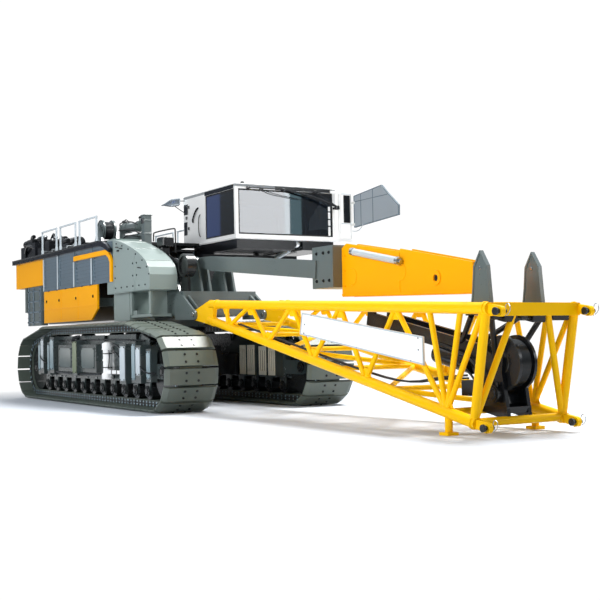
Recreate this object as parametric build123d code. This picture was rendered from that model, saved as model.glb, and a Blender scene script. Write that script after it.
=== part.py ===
from build123d import *
from math import atan2, cos, radians, sin
import os

# A narrow-track lattice-boom crawler crane, standing for travel with only its boom foot fitted.
# Millimetres. X points forward, Y to the machine's left and Z up.
# The origin is on the slewing axis, at ground level.

# Clearances
runningGap = 0.3
pinPlay = 0.06

# Tracks
shoeWidth = 1500
trackInside = 1340
shoeCount = 62
shoeThick = 90
shoeGap = 40
bevelWide = 120
bevelDeep = 55
chainWide = 620
chainThick = 200
wheelX = 5400
wheelR = 770
carrierX = 3700
carrierR = 120
trackTopZ = 2420
trackY = trackInside + shoeWidth / 2
wheelZ = shoeThick + chainThick + wheelR
carrierZ = trackTopZ - shoeThick - chainThick - carrierR

# Side frames between the tracks' runs
beamHalfX = 4480
beamHalfY = 330
beamLowZ = 760
beamTopZ = 1840
forkThick = 80
forkHigh = 200
axleR = 120
rollerR = 225
rollerCount = 11
rollerReach = 4300
hangerThick = 45
shieldThick = 30
shieldBack = 200
shieldTopZ = 2070
shieldEndZ = 1930

# Carbody and slewing ring
carbodyHalfX = 1800
carbodyHalfY = 1050
carbodyLowZ = 760
carbodyTopZ = 1700
crossTopZ = 1420
ringOuterR = 1230
ringInnerR = 950
ringSplitZ = 2290

# Revolving frame
girderRearX = -8300
girderFrontX = 3900
girderHalfY = 1100
girderLowZ = 2560
girderTopZ = 3250
houseHalfY = 2080
skinThick = 60
deckLowZ = 4880
deckThick = 80
deckHalfY = 2200
deckRearX = -9200
deckFrontX = 140
deckTopZ = deckLowZ + deckThick

# Boom foot: u runs along the lower chords from the hinge, v square to them
boomHingeX = 4640
boomHingeZ = 2560
boomDrop = 11.05
boomHalfY = 1075
boomLong = 12000
boomHigh = 2120
boomStart = 800
boomStartHigh = 420
chordR = 110
postR = 88
laceR = 56
lugR = 150
lugThick = 110
cheekThick = 60
boomPinR = 62

# A-frame laid forward over the boom foot
aHingeX = 3400
aHingeZ = 4100
aLegHalfY = 380
aLegThick = 200
aLegDeep = 420
aHeadRearX = 10610
aHeadFrontX = 15310
aPlateHalfY = 190
aPlateThick = 60
aPinR = 90

# Cab on the machine's left
cabRearX = -1400
cabFrontX = 2360
cabNearY = 1320
cabFarY = 4900
cabFloorZ = 4930
cabHigh = 1690
cabWall = 60
cabSillHigh = 130
cabRoofThick = 90
glassThick = 12
cabGlassRearX = 250
cabTopZ = cabFloorZ + cabHigh


def block(xs, ys, zs):
    return Pos(xs[0], ys[0], zs[0]) * Solid.make_box(xs[1] - xs[0], ys[1] - ys[0], zs[1] - zs[0])


def rod(start, end, radius):
    start = Vector(*start)
    along = Vector(*end) - start
    return Solid.make_cylinder(radius, along.length, Plane(start, z_dir=along.normalized()))


def plateXZ(points, y0, y1):
    outline = Wire.make_polygon([Vector(x, y0, z) for x, z in points], close=True)
    return Solid.extrude(Face(outline), Vector(0, y1 - y0, 0))


def plateYZ(points, x0, x1):
    outline = Wire.make_polygon([Vector(x0, y, z) for y, z in points], close=True)
    return Solid.extrude(Face(outline), Vector(x1 - x0, 0, 0))


def plateXY(points, z0, z1):
    outline = Wire.make_polygon([Vector(x, y, z0) for x, y in points], close=True)
    return Solid.extrude(Face(outline), Vector(0, 0, z1 - z0))


def ringZ(outer, inner, z0, z1):
    tube = Solid.make_cylinder(outer, z1 - z0, Plane((0, 0, z0)))
    return tube - Solid.make_cylinder(inner, z1 - z0, Plane((0, 0, z0)))


def acrossY(x, z, y0, y1, radius):
    return rod((x, y0, z), (x, y1, z), radius)


def fused(shapes):
    solids = [solid for shape in shapes for solid in shape.solids()]
    return solids[0].fuse(*solids[1:]) if len(solids) > 1 else solids[0]


def mirrored(shape):
    return Compound([solid.mirror(Plane.XZ) for solid in shape.solids()])


def bothSides(shapes):
    return [*shapes, *[mirrored(shape) for shape in shapes]]


def write(name, *shapes):
    solids = [solid for shape in shapes for solid in shape.solids()]
    export_step(Compound(solids), f"parts/{name}.step")


def boomPoint(u, y, v):
    drop = radians(boomDrop)
    x = boomHingeX + u * cos(drop) + v * sin(drop)
    z = boomHingeZ - u * sin(drop) + v * cos(drop)
    return (x, y, z)


def upperChordV(u):
    return boomStartHigh + (u - boomStart) * (boomHigh - boomStartHigh) / (boomLong - boomStart)


os.makedirs("parts", exist_ok=True)


# Track: one loop of chain with a bevelled shoe on each link
def trackPath(inset):
    circles = []
    for side in (-1, 1):
        circles.append(Pos(side * wheelX, wheelZ) * Circle(wheelR + chainThick - inset))
        circles.append(Pos(side * carrierX, carrierZ) * Circle(carrierR + chainThick - inset))
    return make_hull(Sketch(circles).edges())


def upright(sketch, y0, y1):
    flat = Plane((0, y0, 0), x_dir=(1, 0, 0), z_dir=(0, -1, 0)) * sketch
    return Solid.extrude(flat.face(), Vector(0, y1 - y0, 0))


def trackLoop():
    chain = upright(trackPath(0), -chainWide / 2, chainWide / 2)
    chain = chain - upright(trackPath(chainThick), -chainWide / 2, chainWide / 2)
    path = trackPath(0).wire()
    pitch = path.length / shoeCount
    half = shoeWidth / 2
    section = [(-half, 0), (half, 0), (half, shoeThick - bevelDeep), (half - bevelWide, shoeThick)]
    section += [(bevelWide - half, shoeThick), (-half, shoeThick - bevelDeep)]
    plate = plateYZ(section, -(pitch - shoeGap) / 2, (pitch - shoeGap) / 2)
    foot = block((-pitch / 4, pitch / 4), (-chainWide / 3, chainWide / 3), (-chainThick / 2, 0))
    shoe = plate + foot
    shoes = []
    for number in range(shoeCount):
        at = path.position_at((number + 0.5) * pitch, position_mode=PositionMode.LENGTH)
        along = path.tangent_at((number + 0.5) * pitch, position_mode=PositionMode.LENGTH)
        outward = 1 if along.Y * at.X - along.X * (at.Y - wheelZ) > 0 else -1
        normal = (outward * along.Y, 0, -outward * along.X)
        seat = Plane((at.X, 0, at.Y), x_dir=(along.X, 0, along.Y), z_dir=normal)
        shoes.append(seat.location * shoe)
    return Pos(0, trackY, 0) * fused([chain, *shoes])


track = trackLoop()
write("track_left", track)
write("track_right", mirrored(track))


# Side frame: box beam, wheel forks, roller hangers, carrier brackets and the equipment on its outer face
def sideFrame():
    low, top, end = beamLowZ, beamTopZ, beamHalfX
    outline = [(-end, low + 60), (60 - end, low), (end - 60, low), (end, low + 60)]
    outline += [(end, top - 100), (end - 300, top), (300 - end, top), (-end, top - 100)]
    pieces = [plateXZ(outline, -beamHalfY, beamHalfY)]
    for side in (-1, 1):
        for y0 in (-beamHalfY, beamHalfY - forkThick):
            x0, x1 = sorted((side * (end - 100), side * wheelX))
            arm = block((x0, x1), (y0, y0 + forkThick), (wheelZ - forkHigh, wheelZ + forkHigh))
            eye = acrossY(side * wheelX, wheelZ, y0, y0 + forkThick, forkHigh)
            bore = acrossY(side * wheelX, wheelZ, y0, y0 + forkThick, axleR + runningGap)
            pieces.append((arm + eye) - bore)
        for x in (side * carrierX, side * carrierX / 3):
            web = [(x - 260, top), (x + 260, top), (x + 90, carrierZ + 60), (x - 90, carrierZ + 60)]
            pieces += [plateXZ(web, y0, y0 + 50) for y0 in (-250, 200)]
    stops = [-end + 30, -carrierX, -carrierX / 3, carrierX / 3, carrierX, end - 30]
    for number, (start, stop) in enumerate(zip(stops, stops[1:])):
        heights = [shieldEndZ if abs(x) > carrierX else shieldTopZ for x in (start, stop)]
        x0 = start if number == 0 else start + shieldBack
        x1 = stop if number == len(stops) - 2 else stop - shieldBack
        shield = [(x0, top - 120), (x1, top - 120), (x1, heights[1]), (x0, heights[0])]
        pieces += [plateXZ(shield, y0, y0 + shieldThick) for y0 in (-beamHalfY, beamHalfY - shieldThick)]
    step = 2 * rollerReach / (rollerCount - 1)
    tab = rollerR * 0.5
    for number in range(rollerCount):
        x = number * step - rollerReach
        web = [(x - 190, low), (x + 190, low), (x + tab, low - 340), (x - tab, low - 340)]
        for y0 in (-beamHalfY, beamHalfY - hangerThick):
            pieces.append(plateXZ(web, y0, y0 + hangerThick))
    return fused(pieces)


# Boxes bolted to the side frames' faces: middle x, width, low z, high z, depth
outerBoxes = [
    (-4600, 260, 820, 1900, 190),
    (-4150, 320, 860, 2080, 240),
    (-3700, 260, 820, 1900, 170),
    (-3200, 420, 880, 2060, 220),
    (-1000, 3500, 960, 1800, 150),
    (-900, 420, 850, 1930, 240),
    (3150, 460, 700, 1800, 260),
    (3780, 300, 740, 1860, 190),
    (4250, 380, 740, 1760, 250),
    (4800, 320, 780, 1660, 180),
]
innerBoxes = [
    (2250, 460, 780, 1740, 200),
    (2850, 520, 780, 1760, 240),
    (3500, 520, 780, 1720, 200),
    (4120, 460, 780, 1700, 240),
]


def equipment():
    pieces = []
    for side, boxes in ((1, outerBoxes), (-1, innerBoxes)):
        for x, wide, low, high, deep in boxes:
            ys = sorted((side * beamHalfY, side * (beamHalfY + deep)))
            pieces.append(block((x - wide / 2, x + wide / 2), ys, (low, high)))
    return pieces


frame = Pos(0, trackY, 0) * fused([sideFrame(), *equipment()])
write("side_frames", *bothSides([frame]))


# Wheels: idler in front, drive wheel behind, carrier rollers above and track rollers below
def wheels():
    inner = beamHalfY - forkThick
    pieces = []
    for side in (-1, 1):
        tread = acrossY(side * wheelX, wheelZ, runningGap - inner, inner - runningGap, wheelR - runningGap)
        axle = acrossY(side * wheelX, wheelZ, -beamHalfY - 40, beamHalfY + 40, axleR)
        pieces.append(tread + axle)
        for x in (side * carrierX, side * carrierX / 3):
            pieces.append(acrossY(x, carrierZ, runningGap - 200, 200 - runningGap, carrierR - runningGap))
    reach = beamHalfY - hangerThick - runningGap
    step = 2 * rollerReach / (rollerCount - 1)
    for number in range(rollerCount):
        z = shoeThick + chainThick + rollerR
        pieces.append(acrossY(number * step - rollerReach, z, -reach, reach, rollerR - runningGap))
    return [Pos(0, trackY, 0) * piece for piece in pieces]


write("track_wheels", *bothSides(wheels()))

# Support cylinders: a white jack standing on each side frame's outer face
jackX = 1750
jackY = trackY + beamHalfY + 170
jackLowZ = 800
jackTopZ = 1830
jackR = 130
jackArm = 1200


def supportJack():
    foot = rod((jackX, jackY, jackLowZ), (jackX, jackY, jackLowZ + 140), jackR + 40)
    barrel = rod((jackX, jackY, jackLowZ + 140), (jackX, jackY, jackTopZ - 180), jackR)
    head = rod((jackX, jackY, jackTopZ - 180), (jackX, jackY, jackTopZ), jackR + 25)
    arm = block((jackX, jackX + jackArm), (jackY - 60, jackY + 60), (jackLowZ + 160, jackLowZ + 260))
    seat = block((jackX - 90, jackX + 90), (trackY + beamHalfY, jackY), (jackLowZ + 200, jackTopZ - 300))
    return fused([foot, barrel, head, arm, seat])


write("support_jacks", *bothSides([supportJack() - frame]))

# Carbody: centre box with two cross beams to the side frames, and the slewing ring's lower half
sideInner = trackY - beamHalfY
centre = block((-carbodyHalfX, carbodyHalfX), (-carbodyHalfY, carbodyHalfY), (carbodyLowZ, carbodyTopZ))
crossBeams = [
    block((x - 400, x + 400), (-sideInner, sideInner), (carbodyLowZ + 60, crossTopZ))
    for x in (-1500, 1500)
]
turret = Solid.make_cylinder(ringOuterR - 50, 350, Plane((0, 0, carbodyTopZ)))
write("carbody", fused([centre, *crossBeams, turret]))
lowerRing = ringZ(ringOuterR, ringInnerR, carbodyTopZ + 350, ringSplitZ)
write("slewing_ring", lowerRing)

# Revolving frame: girder, upper ring, cross beams with posts, boom cheeks and A-frame cheeks
crossX = [-8100, -5900, -3300, -900]
girder = block((girderRearX, girderFrontX), (-girderHalfY, girderHalfY), (girderLowZ, girderTopZ))
upperRing = ringZ(ringOuterR - 30, ringInnerR, ringSplitZ + runningGap, girderLowZ)
framePieces = [girder, upperRing]
for x in crossX:
    reach = houseHalfY - skinThick
    framePieces.append(block((x - 90, x + 90), (-reach, reach), (girderTopZ - 260, girderTopZ)))
    for side in (-1, 1):
        ys = sorted((side * reach, side * (reach - 160)))
        framePieces.append(block((x - 90, x + 90), ys, (girderTopZ, deckLowZ)))


def boomCheeks():
    inner = boomHalfY - lugThick / 2 - 6
    outer = boomHalfY + lugThick / 2 + 6
    cheeks = []
    for y0 in (inner - cheekThick, outer):
        web = [(girderFrontX - 500, boomHingeZ - lugR + 40), (boomHingeX, boomHingeZ - lugR + 20)]
        web += [(boomHingeX, boomHingeZ + lugR - 20), (girderFrontX - 200, girderTopZ)]
        web += [(girderFrontX - 500, girderTopZ)]
        body = plateXZ(web, y0, y0 + cheekThick)
        body = body + acrossY(boomHingeX, boomHingeZ, y0, y0 + cheekThick, lugR - 20)
        cheeks.append(body - acrossY(boomHingeX, boomHingeZ, y0, y0 + cheekThick, boomPinR))
    tie = block((girderFrontX - 500, girderFrontX), (girderHalfY, outer), (girderLowZ, girderTopZ))
    return [*cheeks, tie]


def aFrameCheeks():
    web = [(aHingeX - 700, girderTopZ), (aHingeX + 420, girderTopZ), (aHingeX + 150, aHingeZ)]
    web += [(aHingeX - 150, aHingeZ)]
    cheeks = []
    for y0 in (aLegHalfY - aLegThick / 2 - 66, aLegHalfY + aLegThick / 2 + 6):
        body = plateXZ(web, y0, y0 + 60) + acrossY(aHingeX, aHingeZ, y0, y0 + 60, 150)
        cheeks.append(body - acrossY(aHingeX, aHingeZ, y0, y0 + 60, aPinR))
    return cheeks


rearEndX = -9100
rearEndFrame = block((rearEndX + skinThick, crossX[0]), (-1500, 1500), (girderLowZ + 40, 3890))
stackX = (-7710, -6040)
stackZ = (2490, 3890)
stackSides = [block(stackX, (houseHalfY - 230, houseHalfY - 20), stackZ)]
stackBeam = block((stackX[0] + 400, stackX[1] - 400), (20 - houseHalfY, houseHalfY - 20), (2700, 3100))
framePieces += [rearEndFrame, *bothSides(stackSides), stackBeam]
framePieces += bothSides(boomCheeks())
framePieces += bothSides(aFrameCheeks())
write("revolving_frame", fused(framePieces))

boomPins = acrossY(boomHingeX, boomHingeZ, boomHalfY - 160, boomHalfY + 160, boomPinR)
aPins = acrossY(aHingeX, aHingeZ, aLegHalfY - 200, aLegHalfY + 200, aPinR)
write("hinge_pins", *bothSides([boomPins, aPins]))

# Engine, one plain block inside the machinery house
write("engine_block", block((-5300, -1700), (-850, 850), (girderTopZ, girderTopZ + 1350)))

# Machinery house: louvred side panels above, orange panels below and behind
louvreX = (-5800, 800)
louvreZ = (3660, deckLowZ)
louvreBays = 4
louvrePost = 150
louvreDeep = 30
slatCount = 9
slatHigh = 55
rimDeep = 160
bayWide = (louvreX[1] - louvreX[0]) / louvreBays


def louvrePanel(bays):
    inner = houseHalfY - skinThick
    low, top = louvreZ[0] + 90, louvreZ[1] - 90
    panel = block((louvreX[0], louvreX[0] + bays * bayWide), (inner, houseHalfY), louvreZ)
    slats = []
    for number in range(bays):
        x0 = louvreX[0] + number * bayWide + louvrePost
        x1 = x0 + bayWide - 2 * louvrePost
        panel = panel - block((x0, x1), (houseHalfY - louvreDeep, houseHalfY), (low, top))
        for slat in range(slatCount):
            z = low + (slat + 0.5) * (top - low) / slatCount
            slats.append(block((x0, x1), (houseHalfY - louvreDeep, houseHalfY), (z, z + slatHigh)))
    postZ = (louvreZ[0], deckTopZ - rimDeep - 10)
    posts = [block((x - 60, x + 60), (houseHalfY, houseHalfY + 25), postZ) for x in
             [louvreX[0] + number * bayWide for number in range(1, bays)]]
    return fused([panel, *slats, *posts])


def lowerPanel():
    points = [(-5740, 2560), (-980, 2560), (-430, 2900), (-430, 3650), (-5740, 3650)]
    return plateXZ(points, houseHalfY - skinThick, houseHalfY)


def rearPanel():
    return block((rearEndX, louvreX[0] - 20), (houseHalfY - skinThick, houseHalfY), (3900, deckLowZ))


# Orange strip over the front louvres, turned down at its front end
stripHigh = 150
stripFront = louvreX[1] + 150
stripOuter = [(-2450, 4650), (-2450, 4500), (stripFront - 480, 4500), (stripFront - 260, 4400)]
stripOuter += [(stripFront - stripHigh, 4250), (stripFront - stripHigh, louvreZ[0])]
stripOuter += [(stripFront, louvreZ[0]), (stripFront, 4300), (stripFront - 90, 4440)]
stripOuter += [(stripFront - 250, 4560), (stripFront - 500, 4650)]
strip = plateXZ(stripOuter, -houseHalfY - 60, -houseHalfY)
rightLouvres = mirrored(louvrePanel(louvreBays))
write("louvre_panels", rightLouvres, louvrePanel(louvreBays - 1))
write("lower_panels", *bothSides([lowerPanel()]), fused([strip]) - rightLouvres)
innerHalf = houseHalfY - skinThick
rearEnd = block((rearEndX, rearEndX + skinThick), (-innerHalf, innerHalf), (3900, deckLowZ))
write("rear_panels", *bothSides([rearPanel()]), rearEnd)

# Deck: chequer plate with a dark rim, cut away under the cab, and rounded at the front right corner
deckPoints = [(deckRearX, -deckHalfY), (deckFrontX - 180, -deckHalfY), (deckFrontX, 180 - deckHalfY)]
deckPoints += [(deckFrontX, 1150), (cabRearX - 760, 1150), (cabRearX - 760, deckHalfY)]
deckPoints += [(deckRearX, deckHalfY)]
rimTail = 880
rimPoints = [(deckRearX, deckTopZ - rimDeep), (deckRearX, deckTopZ), (deckFrontX - 180, deckTopZ)]
rimPoints += [(deckFrontX + 160, deckTopZ - 50), (deckFrontX + 480, deckTopZ - 150)]
rimPoints += [(rimTail, deckTopZ - 300), (rimTail + 20, deckTopZ - 420), (rimTail - 130, deckTopZ - 370)]
rimPoints += [(deckFrontX + 380, deckTopZ - 270), (deckFrontX + 80, deckTopZ - 190)]
rimPoints += [(deckFrontX - 180, deckTopZ - rimDeep)]
rim = plateXZ(rimPoints, -deckHalfY, -houseHalfY - 10)
leftRim = block((deckRearX, cabRearX - 760), (houseHalfY + 10, deckHalfY), (deckTopZ - rimDeep, deckTopZ))
rearRim = block((deckRearX, deckRearX + 90), (-deckHalfY, deckHalfY), (deckTopZ - rimDeep, deckTopZ))
deckPlate = plateXY(deckPoints, deckLowZ, deckTopZ)
write("deck", fused([deckPlate, rim, leftRim, rearRim]) - fused([strip]))

# Handrails: hoops of round bar along both edges: first x, last x
railTopZ = 5730
railHoops = [(-5670, -4130), (-3710, -2200), (-1820, -260)]
railR = 32


def handrail(x0, x1, y):
    posts = [rod((x, y, deckTopZ), (x, y, railTopZ), railR) for x in (x0, x1)]
    return fused([*posts, rod((x0 - railR, y, railTopZ), (x1 + railR, y, railTopZ), railR)])


rightRails = [handrail(x0, x1, 60 - deckHalfY) for x0, x1 in railHoops]
leftRails = [handrail(x0, x1, deckHalfY - 60) for x0, x1 in railHoops[:2]]
write("handrails", *rightRails, *leftRails)

# Front housing on the right: rounded cabinet between the machinery house and the boom hinge
housingBack = 970
housingCrown = [(housingBack, 4900), (1500, 4810), (1880, 4710), (2450, 4540), (3000, 4340), (3400, 4130)]
housingCrown += [(3640, 3930), (3720, 3720)]
housingLowZ = 3300
housingShape = [(housingBack, housingLowZ), *housingCrown, (3720, housingLowZ)]
housing = plateXZ(housingShape, -houseHalfY, -1250)
housingRear = block((320, housingBack), (skinThick - houseHalfY - 10, -1250), (housingLowZ, deckTopZ - 10))
housingFoot = block((520, 1770), (-1900, -girderHalfY), (2480, housingLowZ))
stepFrame = [
    block((2160, 3300), (-1850, -1250), (2560, 2640)),
    block((3000, 3120), (-1800, -1300), (2640, housingLowZ)),
    block((1770, 2200), (-1850, -1250), (2560, 2760)),
]
housingBody = fused([housing, housingRear]) - rightLouvres
write("front_housing", fused([housingBody, housingFoot, *stepFrame]))

# Deck machinery: hoist winch, retracting cylinder with its column, hydraulic block and rear pipes
drumX = -1750
drumY = -1250
drumZ = deckTopZ + 500
drumHalfY = 200


def drum(x, z, halfY, coreR, flangeR, shaftR):
    core = acrossY(x, z, -halfY, halfY, coreR)
    flanges = [acrossY(x, z, y0, y0 + 50, flangeR) for y0 in (-halfY, halfY - 50)]
    shaft = acrossY(x, z, -halfY - 110, halfY + 110, shaftR)
    return fused([core, *flanges, shaft])


def drumStand(x, z, halfY, baseZ, wide, shaftR):
    cheeks = []
    for side in (-1, 1):
        y0, y1 = sorted((side * (halfY + 20), side * (halfY + 100)))
        web = [(x - wide, baseZ), (x + wide, baseZ), (x + 2 * shaftR, z), (x - 2 * shaftR, z)]
        body = plateXZ(web, y0, y1) + acrossY(x, z, y0, y1, 2 * shaftR)
        cheeks.append(body - acrossY(x, z, y0, y1, shaftR + pinPlay))
    return cheeks


toDeck = Pos(0, drumY, 0)
write("deck_drum", toDeck * drum(drumX, drumZ, drumHalfY, 210, 340, 60))
deckStand = [toDeck * cheek for cheek in drumStand(drumX, drumZ, drumHalfY, deckTopZ, 420, 60)]
frontDrumX = 1750
frontDrumZ = 3860
write("front_drum", drum(frontDrumX, frontDrumZ, 430, 300, 470, 80))
frontStand = drumStand(frontDrumX, frontDrumZ, 430, girderTopZ, 560, 80)
write("winch_stands", *deckStand, *frontStand)

columnX = 900
columnY = -975
columnTopZ = deckTopZ + 720
pipeR = 60
column = block((columnX - 120, columnX + 120), (columnY - 115, columnY + 115), (girderTopZ, columnTopZ))
pullZ = deckTopZ + 500
pullRod = rod((columnX - 1980, columnY, pullZ), (columnX - 120, columnY, pullZ - 60), 70)
pullBarrel = rod((columnX - 1880, columnY, pullZ), (columnX - 330, columnY, pullZ - 50), 150)
lowBarrel = rod((columnX - 1750, columnY, deckTopZ + 160), (columnX - 120, columnY, deckTopZ + 130), 105)
pullFoot = block((columnX - 2060, columnX - 1900), (columnY - 65, columnY + 65), (deckTopZ, pullZ + 60))
capXs = (columnX - 1800, columnX - 420)
caps = [rod((x, columnY, pullZ - 20), (x, columnY, deckTopZ + 700), pipeR) for x in capXs]
write("front_column", fused([column, pullRod, pullBarrel, lowBarrel, pullFoot, *caps]))

# Boxes and pipes standing on the deck: first x, last x, first y, last y, height
deckBoxes = [
    (-8900, -8350, -1950, -1250, 480),
    (-8250, -7650, -1900, -1100, 720),
    (-7550, -7150, -1950, -1350, 560),
    (-7050, -6450, -1900, -1300, 330),
    (-6350, -5850, -1850, -1250, 520),
    (-5150, -4650, -1750, -1300, 340),
    (-4450, -3950, -1800, -1250, 280),
    (-3400, -2950, -1700, -1250, 220),
    (-8800, -7200, -900, 900, 420),
    (-6600, -5400, -700, 1500, 300),
    (-4900, -2600, 200, 1700, 240),
]
deckPipes = [(-8620, -1600, 820), (-7950, -1300, 900), (-7350, -1700, 760), (-6150, -1500, 700)]


def deckItem(x0, x1, y0, y1, high):
    item = block((x0, x1), (y0, y1), (deckTopZ, deckTopZ + high))
    for x, y, pipeHigh in deckPipes:
        if x0 < x < x1 and y0 < y < y1:
            item = item + rod((x, y, deckTopZ), (x, y, deckTopZ + pipeHigh), pipeR)
    return item


write("deck_equipment", *[deckItem(*row) for row in deckBoxes])

# Cab carrier on the left, with the tilting cab's hinge at the rear
cabHingeX = cabRearX + 60
cabHingeZ = cabFloorZ - 70
carrierTopZ = 4560
hingeYs = (2400, 4100)
tiltY = 3560
tiltFootX = 450
tiltFootZ = 4400
tiltEyeX = 2180
tiltEyeZ = cabFloorZ - 110
carrier = block((-700, 900), (girderHalfY - 200, 4300), (4300, carrierTopZ))
tower = block((-700, 900), (girderHalfY - 200, girderHalfY + 200), (girderTopZ, 4300))
carrierRear = block((cabRearX - 60, -700), (2110, 4300), (4380, carrierTopZ))
hingeBlocks = []
for y in hingeYs:
    body = block((cabHingeX - 110, cabHingeX + 110), (y - 160, y - 60), (carrierTopZ, cabHingeZ))
    body = body + acrossY(cabHingeX, cabHingeZ, y - 160, y - 60, 60)
    hingeBlocks.append(body - acrossY(cabHingeX, cabHingeZ, y - 160, y - 60, 32))
tiltSlotHalf = 110
tiltSlot = block((-100, 900), (tiltY - tiltSlotHalf, tiltY + tiltSlotHalf), (4300, carrierTopZ))
write("cab_carrier", fused([carrier, tower, carrierRear, *hingeBlocks]) - tiltSlot)

# Cab: floor, shell with windows cut, roof, panes, seat and what is fixed to them
cabInnerNear = cabNearY + cabWall
cabInnerFar = cabFarY - cabWall
windowLowZ = cabFloorZ + cabSillHigh + 20
windowTopZ = cabTopZ - cabRoofThick - 60
doorX = (420, 1400)
floor = block((cabRearX, cabFrontX), (cabNearY, cabFarY), (cabFloorZ, cabFloorZ + cabSillHigh))
write("cab_floor", floor)
cabBrackets = []
for y in hingeYs:
    eye = block((cabHingeX - 50, cabHingeX + 50), (y - 54, y + 54), (cabHingeZ, cabFloorZ))
    eye = eye + acrossY(cabHingeX, cabHingeZ, y - 54, y + 54, 55)
    cabBrackets.append(eye + acrossY(cabHingeX, cabHingeZ, y - 170, y - 54, 32 - pinPlay))
for side in (-1, 1):
    y0, y1 = sorted((tiltY + side * 60, tiltY + side * 100))
    ear = block((tiltEyeX - 60, tiltEyeX + 60), (y0, y1), (tiltEyeZ, cabFloorZ))
    ear = ear + acrossY(tiltEyeX, tiltEyeZ, y0, y1, 60)
    pinHead = acrossY(tiltEyeX, tiltEyeZ, *sorted((tiltY + side * 100, tiltY + side * 118)), 38)
    cabBrackets.append(ear + pinHead)
underX = (cabRearX + 650, cabFrontX - 60)
underZ = (4640, cabFloorZ)
underNear = block(underX, (cabNearY + 60, tiltY - 140), underZ)
underFar = block(underX, (tiltY + 140, cabFarY - 60), underZ)
write("cab_brackets", *cabBrackets, underNear, underFar)
wallLowZ = cabFloorZ + cabSillHigh
wallTopZ = cabTopZ - cabRoofThick
shell = block((cabRearX, cabFrontX), (cabNearY, cabFarY), (wallLowZ, wallTopZ))
cabInside = ((cabRearX + cabWall, cabFrontX - cabWall), (cabInnerNear, cabInnerFar), (wallLowZ, wallTopZ))
shell = shell - block(*cabInside)
windowZ = (windowLowZ, windowTopZ)
frontWindow = block((cabFrontX - cabWall, cabFrontX), (cabNearY + 100, cabFarY - 100), windowZ)
nearWindow = block((cabGlassRearX, cabFrontX - 100), (cabNearY, cabInnerNear), windowZ)
farWindow = block((doorX[1] + 120, cabFrontX - 100), (cabInnerFar, cabFarY), windowZ)
doorway = block(doorX, (cabInnerFar, cabFarY), (wallLowZ + 30, windowTopZ))
for opening in (frontWindow, nearWindow, farWindow, doorway):
    shell = shell - opening
write("cab_shell", shell)
write("cab_roof", block((cabRearX, cabFrontX), (cabNearY, cabFarY), (wallTopZ, cabTopZ)))


def pane(opening, thinAxis):
    box = opening.bounding_box()
    low, high = list(box.min), list(box.max)
    middle = (low[thinAxis] + high[thinAxis]) / 2
    low[thinAxis] = middle - glassThick / 2
    high[thinAxis] = middle + glassThick / 2
    return block(*zip(low, high))


write("cab_glass", pane(frontWindow, 0), pane(nearWindow, 1), pane(farWindow, 1))
doorY = cabFarY + 8
doorPanel = block((doorX[0] - 40, doorX[1] + 40), (doorY, doorY + 45), (wallLowZ + 10, windowTopZ + 30))
doorLight = block((doorX[0] + 70, doorX[1] - 70), (doorY, doorY + 45), (windowLowZ + 240, windowTopZ - 60))
write("cab_door", doorPanel - doorLight)
write("cab_door_glass", pane(doorLight, 1))
railZ = windowTopZ + 30 + runningGap
doorRail = block((cabRearX + 100, doorX[1] + 60), (cabFarY, doorY + 60), (railZ, railZ + 50))
seatX = 950
seatY = 2500
seatBase = block((seatX - 260, seatX + 260), (seatY - 240, seatY + 240), (wallLowZ, wallLowZ + 420))
seatBack = block((seatX - 340, seatX - 200), (seatY - 230, seatY + 230), (wallLowZ + 420, wallLowZ + 1150))
console = block((seatX - 100, seatX + 420), (seatY + 300, seatY + 520), (wallLowZ, wallLowZ + 640))
write("cab_seat", fused([seatBase, seatBack]), console)

# Front catwalk on the cab's far side: post, arm and folded mesh panel
postX = cabFrontX + 60
panelY = 5500
panelShape = [(200, 470), (200, 1470), (1740, 1630), (2100, 1320), (2620, 920), (2620, 630)]
panelPoints = [(cabFrontX + dx, cabFloorZ + dz) for dx, dz in panelShape]
catwalkTopZ = cabTopZ - 60
catwalkPost = block((postX - 60, postX), (5000, 5080), (cabFloorZ, catwalkTopZ))
catwalkSeat = 200
catwalkNearY = cabFarY - catwalkSeat
catwalkArm = block((postX - 60, postX), (catwalkNearY, 5560), (cabFloorZ + 20, cabFloorZ + 110))
catwalkOuter = block((postX - 60, postX), (5470, 5560), (cabFloorZ + 110, catwalkTopZ))
catwalkTop = block((postX - 60, postX), (catwalkNearY, 5560), (catwalkTopZ - 90, catwalkTopZ))
meshPanel = plateXZ(panelPoints, panelY, panelY + 30)
meshBrackets = [block((postX, cabFrontX + 240), (panelY - 20, panelY), (z, z + 80)) for z in
                (cabFloorZ + 520, cabFloorZ + 1220)]
write("front_catwalk", fused([catwalkPost, catwalkArm, catwalkOuter, catwalkTop, meshPanel, *meshBrackets]))

# Cab fittings: mirror with its arms, guard bars over the front window and a roof lamp
mirrorZ = cabTopZ - 440
mirrorTip = (cabRearX - 620, cabNearY - 260, mirrorZ)
mirrorArm = [rod((cabRearX + 80, cabNearY, mirrorZ + dz), mirrorTip, 22) for dz in (70, -230)]
mirrorSpan = (cabNearY - 420, cabNearY - 240)
mirrorHead = block((cabRearX - 760, cabRearX - 600), mirrorSpan, (mirrorZ - 120, mirrorZ + 120))
mirror = fused([*mirrorArm, mirrorHead]) - shell
guard = [block((cabFrontX, cabFrontX + 70), (2700, catwalkNearY - 10), (wallTopZ - 40, wallTopZ + 20))]
guard += [rod((cabFrontX + 55, 3300, wallTopZ - 10), (cabFrontX + 240, 4800, wallTopZ - 480), 40)]
guard += [block((cabFrontX, cabFrontX + 260), (4760, 4860), (wallTopZ - 540, wallTopZ - 440))]
lamp = Solid.make_cylinder(70, 110, Plane((2100, 1700, cabTopZ)))
write("cab_fittings", mirror, fused(guard), lamp, doorRail)

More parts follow.
